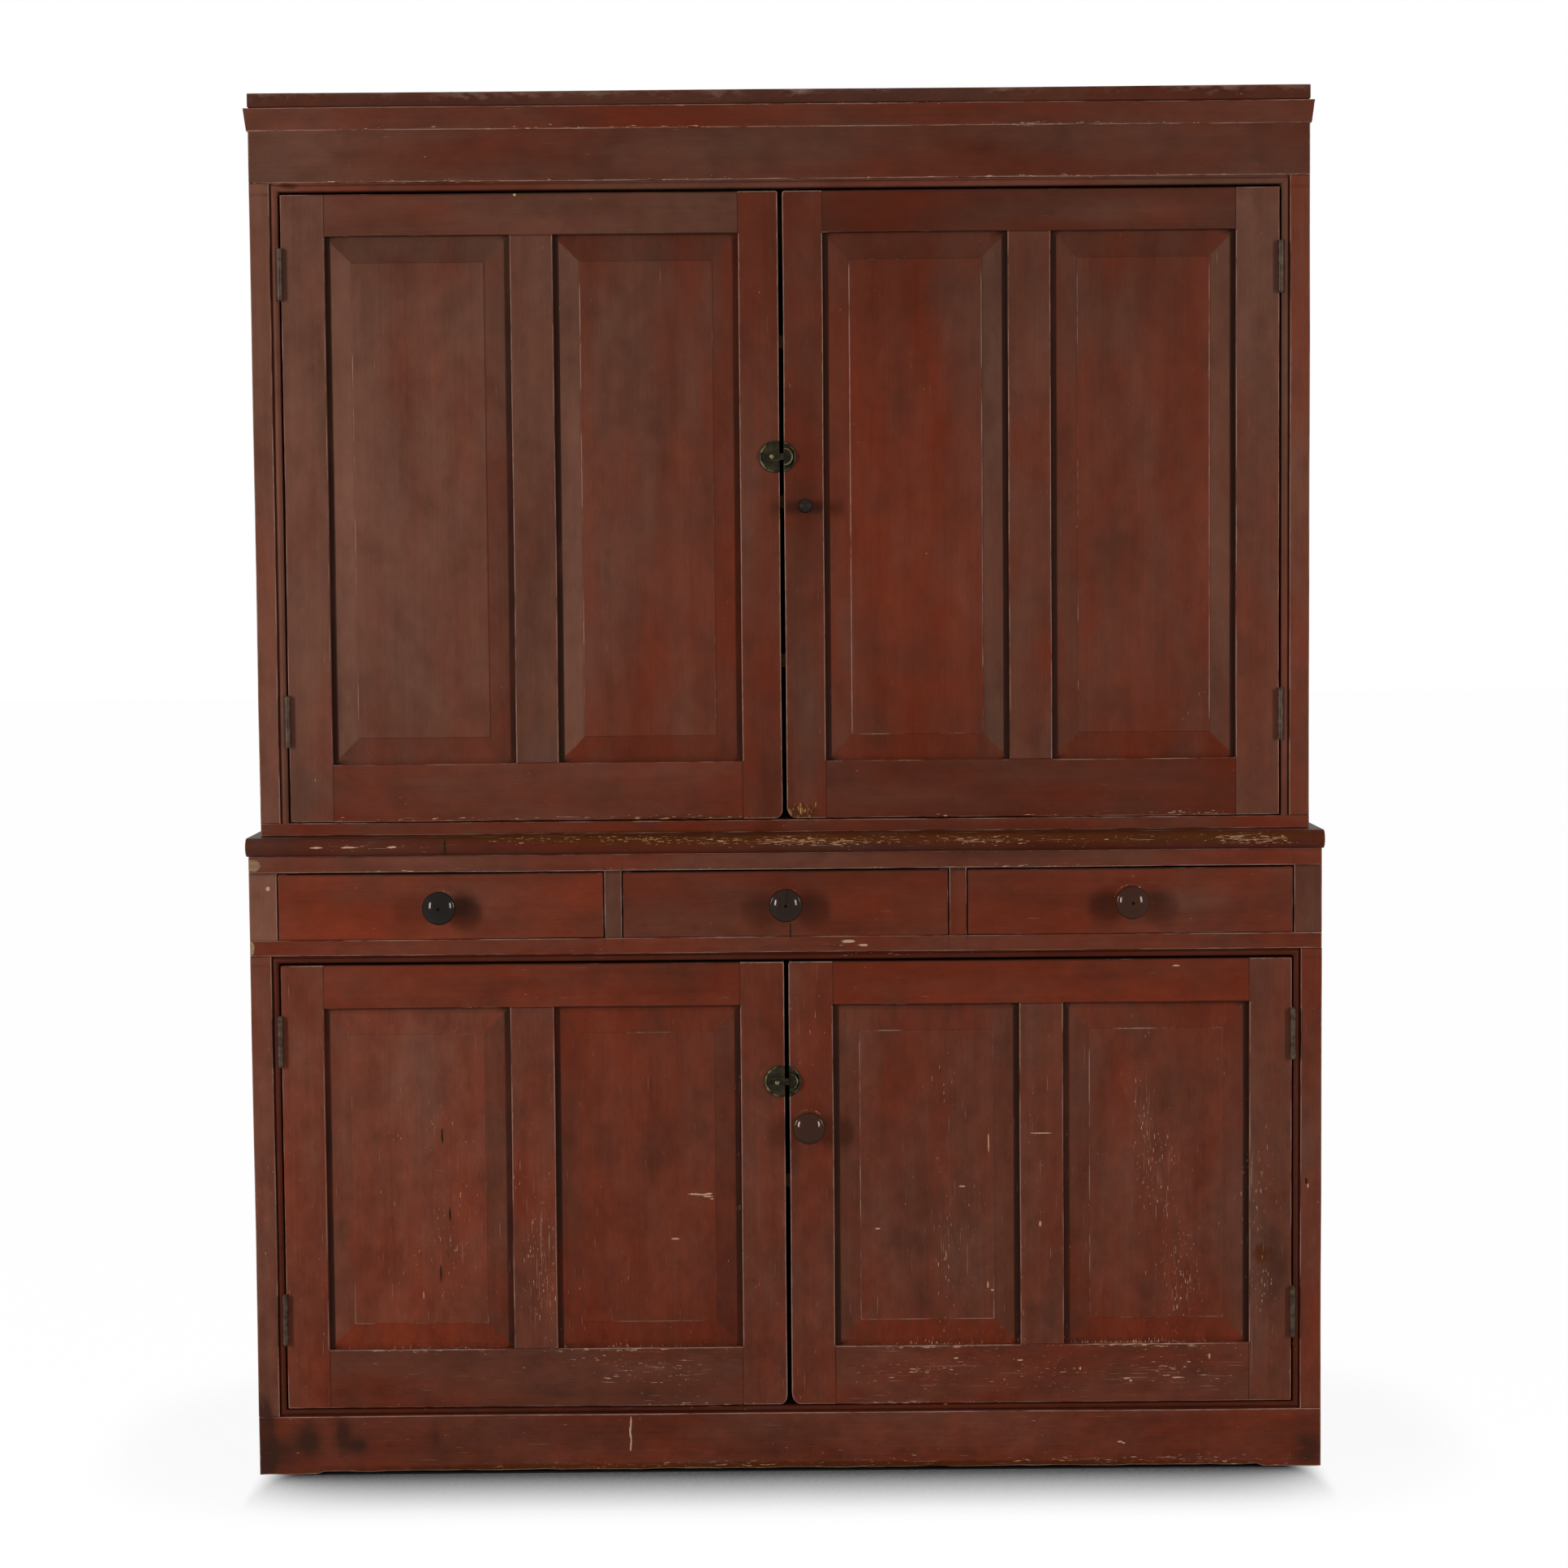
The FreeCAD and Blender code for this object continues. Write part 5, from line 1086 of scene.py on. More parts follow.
class PRESS_OT_case_frames(bpy.types.Operator):
    """Dress the stiles, rails and uprights of the two face frames, and the base"""

    bl_idname = "press.case_frames"
    bl_label = "Face frames"
    bl_options = UNDOABLE

    def execute(self, context):
        middle_foot, middle_head = box("middle_rail")
        for group, foot, head in (
            ("upper_stiles", box("sill_rail")[1], box("frieze_board")[0]),
            ("lower_stiles", box("base_board")[1], middle_foot),
            ("drawer_uprights", middle_head, box("drawer_top_rail")[0]),
        ):
            boards = []
            for number, (low, high) in enumerate(solids(group)):
                low[Z], high[Z] = foot[Z], head[Z]
                boards.append(board(f"{group} {number}", low, high, Z, butted=(Z,), bare=BACK, wear=0.6))
            add_painted(group, joined(boards), "carcase")
        for name, wear in (("sill_rail", 0.5), ("drawer_top_rail", 0.75), ("middle_rail", 0.55)):
            add_painted(name, board(name, *box(name), X, bare=BACK, wear=wear), "carcase")
        self.base()
        return {"FINISHED"}

    def base(self):
        """The base board: its foot is ragged, and lifts by the relief past a smooth step at each foot."""
        low, high = box("base_board")
        foot = size("foot_width")
        run = 0.16
        ends = np.array([high[X] - foot * share for share in (0.9, 1, 1.05, 1.1, 1 + run)])
        base = board("base_board", low, high, X, bare=BACK, wear=0.7, finer=((*ends, *-ends), (), ()))
        points = base.points
        share = np.clip((high[X] - foot - np.abs(points[:, X])) / (run * foot), 0, 1)
        lift = size("relief") * share * share * (3 - 2 * share)
        ragged = 0.7 * (1 + waves(points[:, X], 60, "foot of the base"))
        points[:, Z] += (lift + ragged) * np.clip((high[Z] - points[:, Z]) / (high[Z] - low[Z]), 0, 1) ** 3
        add_painted("base_board", base, "carcase")


class PRESS_OT_waist(bpy.types.Operator):
    """Dress the waist board, with its round nose and its row of chips"""

    bl_idname = "press.waist"
    bl_label = "Waist board"
    bl_options = UNDOABLE

    def execute(self, context):
        low, high = box("waist_board")
        middle = (low + high) / 2
        thick = high[Z] - low[Z]
        nose, eased = size("nose_depth"), size("arris")
        radius = (thick * thick / 4 + nose * nose) / (2 * nose)
        shoulder = low[Y] + nose
        flat = np.linspace(high[Y], shoulder, 18)
        section = [(high[Y], low[Z]), (high[Y], high[Z])]
        section += [(y, high[Z]) for y in flat[1:]]
        section += arc((shoulder, high[Z]), (shoulder, low[Z]), radius, True, 12)
        section += [(y, low[Z]) for y in flat[-2:0:-1]]
        y, z = np.array(section).T
        # Places along the board and how far the section is drawn in there
        ends = [(low[X], eased), (low[X] + eased * 0.4, eased * 0.3), (low[X] + eased, 0)]
        stops = [(x, 0) for x in sorted(mark_lines(low, high, X)) if low[X] + 2 < x < high[X] - 2]
        corners = []
        for x, pull in (*ends, *stops, *[(-x, pull) for x, pull in reversed(ends)]):
            inner_y = middle[Y] + (y - middle[Y]) * (1 - 2 * pull / (high[Y] - low[Y]))
            inner_z = middle[Z] + (z - middle[Z]) * (1 - 2 * pull / thick)
            corners.append(np.stack([np.full(len(y), x), inner_y, inner_z], axis=-1))
        # Points 4 mm apart, so that the chips are sharp
        spans = np.diff([corner[0, X] for corner in corners])
        points, faces = swept(corners, np.maximum(1, np.round(spans / 4)).astype(int))
        edge = np.abs(points[:, Z] - high[Z]) + np.abs(points[:, Y] - shoulder)
        grain = points[:, [X, Z, Y]] * 1.2
        points[:, Z] += size("bow") * waves(points[:, X], 500, "waist")
        waist = painted(points, faces, grain, edge, np.zeros(len(points), bool), 0.4, "waist")
        # Dirt and painted shade on the top of the waist, in the corner under the upper case
        under_case = (points[:, Z] > high[Z] - 2) & (points[:, Y] > shoulder + 20)
        waist.values["grime_and_shade"] = np.where(under_case, 1, waist.values["grime_and_shade"])
        add_painted("waist_board", waist, "carcase")
        return {"FINISHED"}


class PRESS_OT_sides(bpy.types.Operator):
    """Dress the sides of both cases, painted outside and bare inside"""

    bl_idname = "press.sides"
    bl_label = "Sides"
    bl_options = UNDOABLE

    def execute(self, context):
        for case in ("upper", "lower"):
            back_low, back_high = box(f"{case}_back_boards")
            self.side(f"{case}_left_side", -1, back_low[X], back_low[Y])
            self.side(f"{case}_right_side", 1, back_high[X], back_low[Y])
        return {"FINISHED"}

    def side(self, name, sign, lip, rabbet):
        """A side board: its section has eased front and back corners and a rabbet, and is carried
        straight up."""
        low, high = box(name)
        outer, inner = (low[X], high[X]) if sign < 0 else (high[X], low[X])
        eased = size("arris")
        corner = outer - sign * eased
        section = [(inner, low[Y]), (corner, low[Y]), (outer, low[Y] + eased)]
        section += [(outer, y) for y in np.linspace(low[Y] + eased, high[Y] - eased, 19)[1:]]
        section += [(corner, high[Y]), (lip, high[Y]), (lip, rabbet)]
        section += [(inner, y) for y in np.linspace(rabbet, low[Y], 18)[:-1]]
        x, y = np.array(section).T
        corners = [np.stack([x, y, np.full(len(x), level)], axis=-1) for level in (low[Z], high[Z])]
        points, faces = swept(corners, [steps_along(high[Z] - low[Z])])
        inside = np.abs(points[:, X] - outer) > abs(lip - outer) * 0.5
        edge = np.minimum(points[:, Y] - low[Y], high[Y] - points[:, Y])
        add_painted(name, painted(points, faces, points[:, [Z, Y, X]], edge, inside, 0.5, name), "carcase")


class PRESS_OT_beads(bpy.types.Operator):
    """Dress the beaded strips round the door openings"""

    bl_idname = "press.beads"
    bl_label = "Beads"
    bl_options = UNDOABLE

    def execute(self, context):
        self.strip("upper", False)
        self.strip("lower", True)
        return {"FINISHED"}

    def strip(self, case, ring):
        """A strip with a quirk and a round bead, carried round its opening. One that isn't a ring
        stands on the sill, where its ends are cut square."""
        name = f"{case}_opening_beads"
        low, high = box(name)
        face, rear = low[Y], high[Y]
        width, quirk, deep = size(f"{case}_strip"), size("quirk"), size("quirk_depth")
        bead = width - quirk
        rise = bead * 0.38
        radius = (bead * bead / 4 + rise * rise) / (2 * rise)
        section = [(0, rear), (0, face + deep), (quirk, face + deep), (quirk, face + rise)]
        section += arc((quirk, face + rise), (width, face + rise), radius, True, 10)
        section += [(width, rear)]
        inset, depth = np.array(section).T
        mitred = 1 if ring else 0
        corners = [
            np.stack([x + x_sign * inset, depth, z + z_sign * inset], axis=-1)
            for x, x_sign, z, z_sign in (
                (low[X], 1, low[Z], mitred), (low[X], 1, high[Z], -1),
                (high[X], -1, high[Z], -1), (high[X], -1, low[Z], mitred),
            )
        ]
        tall, wide = steps_along(high[Z] - low[Z]), steps_along(high[X] - low[X])
        points, faces = swept(corners, (tall, wide, tall, wide)[:4 if ring else 3], ring)
        upright = np.minimum(points[:, X] - low[X], high[X] - points[:, X]) < width + 0.1
        grain = np.where(upright[:, None], points[:, [Z, X, Y]], points[:, [X, Z, Y]])
        crest = 4 + np.abs(points[:, Y] - face) * 3
        strip = painted(points, faces, grain, crest, np.zeros(len(points), bool), 0, name)
        add_painted(name, strip, "carcase")


class PRESS_OT_doors(bpy.types.Operator):
    """Dress the frames and the fielded panels of the four doors"""

    bl_idname = "press.doors"
    bl_label = "Doors"
    bl_options = UNDOABLE

    def execute(self, context):
        for door in DOORS:
            stiles = solids(f"{door}_stiles")
            rails = solids(f"{door}_rails")
            muntin = max(rails, key=lambda ends: ends[1][Z] - ends[0][Z])
            foot = min(rails, key=lambda ends: ends[0][Z])
            head = max(rails, key=lambda ends: ends[1][Z])
            self.stiles(door, stiles, foot[1][Z], head[0][Z])
            self.rails(door, stiles, muntin, foot, head)
            step = size("upper_step") if door.startswith("upper") else size("lower_step")
            panels = [
                self.panel(f"{door} panel {number}", low, high, stiles[0][0][Y], step)
                for number, (low, high) in enumerate(solids(f"{door}_panels"))
            ]
            add_painted(f"{door}_panels", joined(panels), door, sharp=6)
        return {"FINISHED"}

    def stiles(self, door, stiles, foot_rail, head_rail):
        """The stiles of a door, between the lines of its rails. The corners of the meeting stile are
        worn round."""
        right = "right" in door
        corners = [(-1, -1, 14, 18), (-1, 1, 3, 6)] if right else [(1, -1, 11, 15), (1, 1, 2, 4)]
        made = []
        for number, (low, high) in enumerate(stiles):
            meeting = (number == 0) == right
            # Meeting stiles and the stiles of the right doors get more wear: pale edges that also paint the
            # glints of the lamps
            wear = 0.8 if meeting else (0.6 if right else 0.45)
            middle = (low[Z] + high[Z]) / 2
            stops = [level - middle for level in (foot_rail - 1, foot_rail + 1, head_rail - 1, head_rail + 1)]
            stile = board(f"{door} stile {number}", low, high, Z, bare=BACK, wear=wear,
                          worn=corners if meeting else (), finer=((), (), stops))
            joints = ((low[Z] + 3, foot_rail), (head_rail, high[Z] - 3))
            tighten(stile, X, high[X] if number == 0 else low[X], Z, joints, low[Y])
            made.append(stile)
        add_painted(f"{door}_stiles", joined(made), door)

    def rails(self, door, stiles, muntin, foot, head):
        """The rails of a door between its stiles, and the muntin between its rails."""
        muntin_span = (muntin[0][X], muntin[1][X])
        made = []
        for name, (low, high), wear in (("foot", foot, 0.5), ("head", head, 0.15)):
            low[X], high[X] = stiles[0][1][X], stiles[1][0][X]
            middle = (low[X] + high[X]) / 2
            stops = [end - middle + shift for end in muntin_span for shift in (-1, 1)]
            rail = board(f"{door} {name}", low, high, X, butted=(X,), bare=BACK, wear=wear,
                         finer=(stops, (), ()))
            # Painted shade along the underside of each head rail, over the panel
            if name == "head":
                rail.values["grime_and_shade"] = np.where(rail.points[:, Z] < low[Z] + 1.2, 0.8, rail.values["grime_and_shade"])
            tighten(rail, Z, high[Z] if name == "foot" else low[Z], X, (muntin_span,), low[Y])
            made.append(rail)
        low, high = muntin
        low[Z], high[Z] = foot[1][Z], head[0][Z]
        made.append(board(f"{door} muntin", low, high, Z, butted=(Z,), bare=BACK, wear=0.6))
        add_painted(f"{door}_rails", joined(made), door)

    def panel(self, name, low, high, face, step):
        """A fielded panel: the profile runs from its flat back round the tongue, up the bevel and the
        step to the field."""
        tongue, bevel = size("tongue"), size("bevel")
        groove = face + size("groove_setback")
        field = low[Y]
        rim = tongue + bevel
        slope = (field + step - groove) / bevel
        # Dirt and the painted shadow of the frame lie on the bevel from the groove to the second of these,
        # and fade from the first
        clean, dirty = 9.6, 8.4
        profile = [(0, high[Y]), (0, groove), (tongue, groove)]
        places = (dirty, clean, bevel * 0.6, bevel - 1.2, bevel)
        profile += [(tongue + out, groove + out * slope) for out in places]
        profile += [(rim + 0.35, field + step * 0.35), (rim + 0.9, field + 0.12), (rim + 2, field)]
        centre = (low + high) / 2
        spread = (high - low) / (high - low - 2 * (rim + 2))
        finer = [[low[axis] + 2, high[axis] - 2] for axis in (X, Z)]
        for lines, axis in zip(finer, (X, Z)):
            middle, stretch = centre[axis], spread[axis]
            lines += [middle + (line - middle) * stretch for line in mark_lines(low, high, axis)]
        points, faces = terraced((low[X], high[X]), (low[Z], high[Z]), profile, size("grid"), finer)
        points = points[:, [X, Z, Y]]
        gaps = np.stack([
            points[:, X] - low[X], high[X] - points[:, X],
            points[:, Z] - low[Z], high[Z] - points[:, Z],
        ])
        inset = gaps.min(axis=0)
        edge = 1.7 * np.abs(inset - rim - 0.5)
        front = points[:, Y] < high[Y] - 0.5
        grain = points[:, [Z, X, Y]]
        points[:, Y] += np.where(inset > rim, 0.35 * waves(points[:, X] - centre[X], 150, name + " cup"), 0)
        panel = painted(points, faces, grain, edge, ~front, 0.2, name)
        for wear, gap in zip(FIELD_WEAR_AND_GLINT[name], gaps):
            panel.values["wear"] = np.where(gap < rim + 3, wear, panel.values["wear"])
        nearest = np.where(inset < rim + 0.1, gaps.argmin(axis=0), len(gaps))
        for side, (tone, depth, amount) in enumerate(BEVEL_LIGHT_AND_AGE[name.split()[0]]):
            panel.values["tone"] += np.where(nearest == side, tone, 0)
            panel.values["depth"] *= np.where(nearest == side, depth, 1)
            # Dirt, and the painted shadow that the frame casts into the groove
            dirt = amount * np.clip((tongue + clean - gaps[side]) / (clean - dirty), 0, 1) * front
            panel.values["grime_and_shade"] = np.maximum(panel.values["grime_and_shade"], dirt)
        # A painted shadow line at the step along the foot and the head of the field
        step_line = (np.abs(inset - rim) < 0.5) & (np.minimum(gaps[2], gaps[3]) < rim + 0.5)
        panel.values["crack"] = np.maximum(panel.values["crack"], np.where(step_line, 0.42, 0))
        return panel


class PRESS_OT_drawer_fronts(bpy.types.Operator):
    """Dress the drawer fronts, with the sockets of their dovetails left open at the ends"""

    bl_idname = "press.drawer_fronts"
    bl_label = "Drawer fronts"
    bl_options = UNDOABLE

    def execute(self, context):
        for drawer in DRAWERS:
            low, high = box(f"{drawer}_front")
            thick = size("drawer_side")
            lap = low[Y] + size("lap")
            face_high = np.array((high[X], lap, high[Z]))
            back_low = np.array((low[X] + thick, lap, low[Z]))
            back_high = np.array((high[X] - thick, high[Y], high[Z]))
            made = [
                board(f"{drawer} face", low, face_high, X, bare=BACK, wear=0.2, arris=2.0),
                board(f"{drawer} back", back_low, back_high, X, butted=(X, Y, Z), bare=BACK, wear=0),
                *self.pins(drawer, low, high, lap, thick),
            ]
            add_painted(f"{drawer}_front", joined(made), drawer)
        return {"FINISHED"}

    def pins(self, drawer, low, high, lap, thick):
        """The pins between the dovetails at each end, narrower at the lap by the flare of the tails."""
        tails = 3
        pitch = (high[Z] - low[Z]) / tails
        middles = low[Z] + pitch * (np.arange(tails) + 0.5)
        root = pitch / 4
        made = []
        for end, (start, finish) in enumerate(((low[X], low[X] + thick), (high[X] - thick, high[X]))):
            for number in range(tails + 1):
                sections = []
                for y, half in ((lap, root + size("flare")), (high[Y], root)):
                    foot = low[Z] if number == 0 else middles[number - 1] + half
                    head = high[Z] if number == tails else middles[number] - half
                    corners = ((start, foot), (finish, foot), (finish, head), (start, head))
                    sections.append([(x, y, z) for x, z in corners])
                points, faces = swept(sections, [1])
                grain, edge = points[:, [X, Z, Y]], np.full(len(points), float(UNWORN))
                bare = np.ones(len(points), bool)
                made.append(painted(points, faces, grain, edge, bare, 0, f"{drawer} pin {end} {number}"))
        return made


class PRESS_OT_knobs(bpy.types.Operator):
    """Turn the drawer knobs, the door knob and the peg"""

    bl_idname = "press.knobs"
    bl_label = "Knobs and peg"
    bl_options = UNDOABLE

    def execute(self, context):
        self.knob("left_drawer_knob", "left_drawer_front", "left_drawer", 0.0)
        self.knob("middle_drawer_knob", "middle_drawer_front", "middle_drawer", 0.3, crack=True)
        self.knob("right_drawer_knob", "right_drawer_front", "right_drawer", 0.75)
        self.knob("lower_door_knob", "lower_right_door_stiles", "lower_right_door", 0.7, eye=False)
        self.peg()
        return {"FINISHED"}

    def knob(self, name, carrier, body, tint, eye=True, crack=False):
        """A knob turned about its axis: a dowel, a collar, a hollow neck, a round edge with a small
        bead, and a low crown. It may have an eye at its middle, and a crack from the eye to the edge."""
        low, high = box(name)
        face = box(carrier)[0][Y]
        radius, reach = (high[X] - low[X]) / 2, face - low[Y]
        dowel, collar, crown, eye_radius = 8, radius * 0.66, radius * 0.87, 2.4
        profile = [(0, high[Y] - face), (dowel, high[Y] - face), (dowel, 0)]
        profile += [(collar, 0), (collar, -reach * 0.1)]
        profile += arc(profile[-1], (radius * 0.84, -reach * 0.56), reach * 0.6, True, 10)
        profile += arc(profile[-1], (radius, -reach * 0.69), radius * 0.28, False, 8)
        profile += arc(profile[-1], (radius * 0.9, -reach * 0.81), radius * 0.17, False, 8)
        profile += [(radius * 0.885, -reach * 0.807), (crown, -reach * 0.815)]
        rise = reach * 0.158
        top = (eye_radius if eye else 0, -reach)
        profile += arc(profile[-1], top, (crown ** 2 + rise ** 2) / (2 * rise), False, 20)
        if eye:
            profile += [(2.2, -reach + 0.6), (1.9, -reach + 4), (0, -reach + 5)]
        angles = np.linspace(0, 2 * math.pi, 96, endpoint=False)
        bearing, half_width = 9, 0.7
        if crack:
            beside = np.radians(bearing + np.array((-2, -1, -0.4, 0, 0.4, 1, 2)))
            angles = np.unique(np.concatenate([angles, beside]))
        centre = np.array([(low[X] + high[X]) / 2, face, (low[Z] + high[Z]) / 2])
        points, faces = lathe(profile, angles, centre)
        away = points - centre
        distance = np.hypot(away[:, X], away[:, Z])
        grime_and_shade = np.where((distance < eye_radius - 0.1) & (away[:, Y] < 0), 1.0, 0.0)
        if crack:
            turn = np.degrees(np.arctan2(away[:, X], away[:, Z]))
            on_head = (away[:, Y] < -reach * 0.6) & (distance > eye_radius + 0.1)
            opened = np.exp(-((turn - bearing) / half_width) ** 2) * on_head
            points[:, Y] += 1.2 * opened
            grime_and_shade = np.maximum(grime_and_shade, opened)
        add_turned(name, Surface(points, faces, tint=np.full(len(points), tint), grime_and_shade=grime_and_shade), body)

    def peg(self):
        """A plain peg turned about its axis, waisted along its length and dished at its end."""
        low, high = box("upper_door_peg")
        face = box("upper_right_door_stiles")[0][Y]
        radius, reach = (high[X] - low[X]) / 2 + size("peg_swell"), face - low[Y]
        dowel, neck = 7, radius * 0.8
        profile = [(0, high[Y] - face), (dowel, high[Y] - face), (dowel, 0), (radius, 0)]
        profile += arc(profile[-1], (neck, -reach / 2), reach, True, 8)
        profile += arc(profile[-1], (radius - 1.2, -reach), reach, True, 8)
        profile += [(radius - 1.6, -reach - 0.1), (neck, -reach + 0.1)]
        profile += [(neck * 0.5, -reach + 2), (0, -reach + 3)]
        centre = np.array([(low[X] + high[X]) / 2, face, (low[Z] + high[Z]) / 2])
        points, faces = lathe(profile, np.linspace(0, 2 * math.pi, 64, endpoint=False), centre)
        dished = np.hypot(*(points - centre)[:, [X, Z]].T) < neck * 0.9
        grime_and_shade = np.where(dished, 0.3, 0.0)
        surface = Surface(points, faces, tint=np.full(len(points), 0.05), grime_and_shade=grime_and_shade)
        add_turned("upper_door_peg", surface, "upper_right_door")


class PRESS_OT_ironwork(bpy.types.Operator):
    """Finish the hinges and the catches"""

    bl_idname = "press.ironwork"
    bl_label = "Ironwork"
    bl_options = UNDOABLE

    def execute(self, context):
        iron = finish_material("browned_cast_iron", lambda tree: cast_iron(tree, "iron"))
        hinge = finish_material("painted_hinge_iron", lambda tree: cast_iron(tree, "hinge"))
        for name in ("hinge_frame_leaves", "hinge_pins", *[f"{door}_hinge_leaves" for door in DOORS]):
            keep_node(name, hinge)
        for case in ("upper", "lower"):
            self.catch(case, iron)
        self.screws(hinge)
        return {"FINISHED"}

    def catch(self, case, iron):
        """A catch: its plate and bolt stay, with a bead round the plate and a head on the stud, and
        its keeper is cast as half a disc with a lip."""
        for part in ("plate", "bolt"):
            keep_node(f"{case}_catch_{part}", iron, 0.5)
        plate_low, plate_high = box(f"{case}_catch_plate")
        low, high = box(f"{case}_catch_keeper")
        face, level = high[Y], (low[Z] + high[Z]) / 2
        radius = (plate_high[Z] - plate_low[Z]) / 2
        rim = self.bead((plate_low[X] + radius, level), radius - 2, plate_high[X], face - size("catch_plate"))
        add_piece(f"{case}_catch_rim", rim, f"{case}_left_door", [], iron)
        bolt = f"{case}_catch_bolt"
        add_piece(f"{case}_catch_stud", self.stud(bolt), bolt, [], iron)
        disc = self.half_disc((high[X] - radius, level), radius, low[X], face)
        lip = self.lip((low[X], level), size("keeper_lip"), low[Y], face)
        add_piece(f"{case}_catch_keeper_cast", joined([disc, lip]), f"{case}_right_door",
                  [f"{case}_catch_keeper"], iron)

    def bent(self, centre, radius, out, stand, turns):
        """A section of distances out from an arc and depths, carried round the arc through some turns."""
        reach = radius + np.array(out)
        sections = [
            np.stack([centre[0] + reach * math.cos(turn), stand, centre[1] + reach * math.sin(turn)], axis=-1)
            for turn in turns
        ]
        return swept(sections, [1] * (len(turns) - 1))

    def bead(self, centre, radius, cut, face):
        """A half-round bead bent round the arc of a disc that stands left of a straight cut."""
        corner = math.acos((cut - centre[0]) / radius)
        around = np.linspace(0, 2 * math.pi, 12, endpoint=False)
        turns = np.linspace(corner, 2 * math.pi - corner, 48)
        points, faces = self.bent(centre, radius, 1.5 * np.cos(around), face - 1.1 * np.sin(around), turns)
        # The crest is worn bright, and on the left side only it is painted brighter as the highlight of the
        # left lamp
        crest = np.clip((face + 0.3 - points[:, Y]) / 0.9, 0, 1)
        left = np.clip((centre[0] - points[:, X]) / radius, 0, 1)
        return Surface(points, faces, rubbed=crest * left)

    def half_disc(self, centre, radius, cut, face):
        """The part of a disc right of a straight cut: lines run from its arc to the cut, and the
        height over the face follows the distance from the rim, a round bead and then a shallow dish."""
        corner = math.acos((cut - centre[0]) / radius)
        turn = np.linspace(-corner, corner, 49)[:, None]
        share = np.linspace(0, 1, 26) ** 1.6
        x = centre[0] + radius * np.cos(turn) * (1 - share) + (cut - centre[0]) * share
        z = centre[1] + radius * (np.sin(turn) * (1 - share) + math.sin(corner) * turn / corner * share)
        inward = radius - np.hypot(x - centre[0], z - centre[1])
        thick = size("catch_plate")
        bead = 4
        swell = np.where(inward < bead, 0.6 * np.sin(np.clip(inward / bead, 0, 1) * math.pi), 0)
        front = np.stack([x, face - thick * (0.55 + swell), z], axis=-1)
        back = np.stack([x, np.full_like(x, face), z], axis=-1)
        rows, columns = x.shape
        numbers = np.arange(x.size).reshape(rows, columns)
        rim = np.concatenate([numbers[0, :-1], numbers[:-1, -1], numbers[-1, :0:-1], numbers[:0:-1, 0]])
        following = np.roll(rim, -1)
        walls = np.stack([rim, following, following + x.size, rim + x.size], axis=-1)
        quads = np.concatenate([grid_faces(rows, columns), grid_faces(rows, columns, x.size)[:, ::-1], walls])
        points = np.concatenate([front.reshape(-1, 3), back.reshape(-1, 3)])
        kept, faces = closed(points, quads)
        # The crest is worn bright and painted brighter as a highlight
        crest = np.clip((face - thick * 0.9 - points[kept, Y]) / (thick * 0.25), 0, 1)
        return Surface(points[kept], faces, rubbed=0.4 * crest)

    def lip(self, centre, radius, front, face):
        """The raised lip round the hollow of the keeper: a wall with a rounded crest, bent round half
        a circle."""
        wall = [(-1.2, face - 0.6), (-1.2, front + 1), (-0.8, front + 0.3), (0, front)]
        wall += [(0.8, front + 0.3), (1.2, front + 1), (2.0, face - 2), (2.2, face - 0.6)]
        out, stand = np.array(wall).T
        points, faces = self.bent(centre, radius, out, stand, np.radians(np.linspace(-88, 88, 33)))
        # The crest of the lip is worn bright and painted brighter as a highlight
        return Surface(points, faces, rubbed=0.7 * np.clip(front + 1.1 - points[:, Y], 0, 1))

    def stud(self, bolt):
        """The rounded head on the stud of a bolt, turned about the axis of the stud."""
        low, high = min(solids(bolt), key=lambda ends: ends[0][Y])
        radius = (high[X] - low[X]) / 2
        profile = [(0, 1.5), (radius, 1.5), (radius + 0.5, 0.6), (radius + 0.5, 0)]
        profile += arc(profile[-1], (0, -1.6), radius + 1.6, False, 8)
        centre = np.array([(low[X] + high[X]) / 2, low[Y], (low[Z] + high[Z]) / 2])
        points, faces = lathe(profile, np.linspace(0, 2 * math.pi, 24, endpoint=False), centre)
        # The whole head is painted bright: worn iron and a painted highlight
        return Surface(points, faces, rubbed=np.full(len(points), 1.6))

    def screws(self, material):
        """Flush slotted screws, three to each hinge leaf: a head is two half-moons on either side of
        its slot."""
        turn = np.radians(np.linspace(-80, 80, 11))
        head, slot, pitch = 3.1, 0.13, 25
        half_moon = head * np.stack([np.sin(turn), np.cos(turn) * (1 - slot) + slot], axis=-1)
        owners = [("carcase", "hinge_frame_leaves", 1)]
        owners += [(door, f"{door}_hinge_leaves", -1) for door in DOORS]
        for body, leaves, inward in owners:
            made = []
            for low, high in solids(leaves):
                into = inward * (1 if low[X] > 0 else -1)
                leaf = (low[X] + high[X]) / 2 + into * size("leaf_gap") / 2
                for row in (-1, 0, 1):
                    y = high[Y] - (9 if row else 12)
                    z = (low[Z] + high[Z]) / 2 + row * pitch
                    for turned in (1, -1):
                        section = np.stack([y + half_moon[:, 0], z + turned * half_moon[:, 1]], axis=-1)
                        ends = [
                            np.column_stack([np.full(len(section), x), section])
                            for x in (leaf + into * 0.5, leaf - into * 0.12)
                        ]
                        made.append(Surface(*swept(ends, [1])))
            add_piece(f"{leaves}_screws", joined(made), body, [], material)


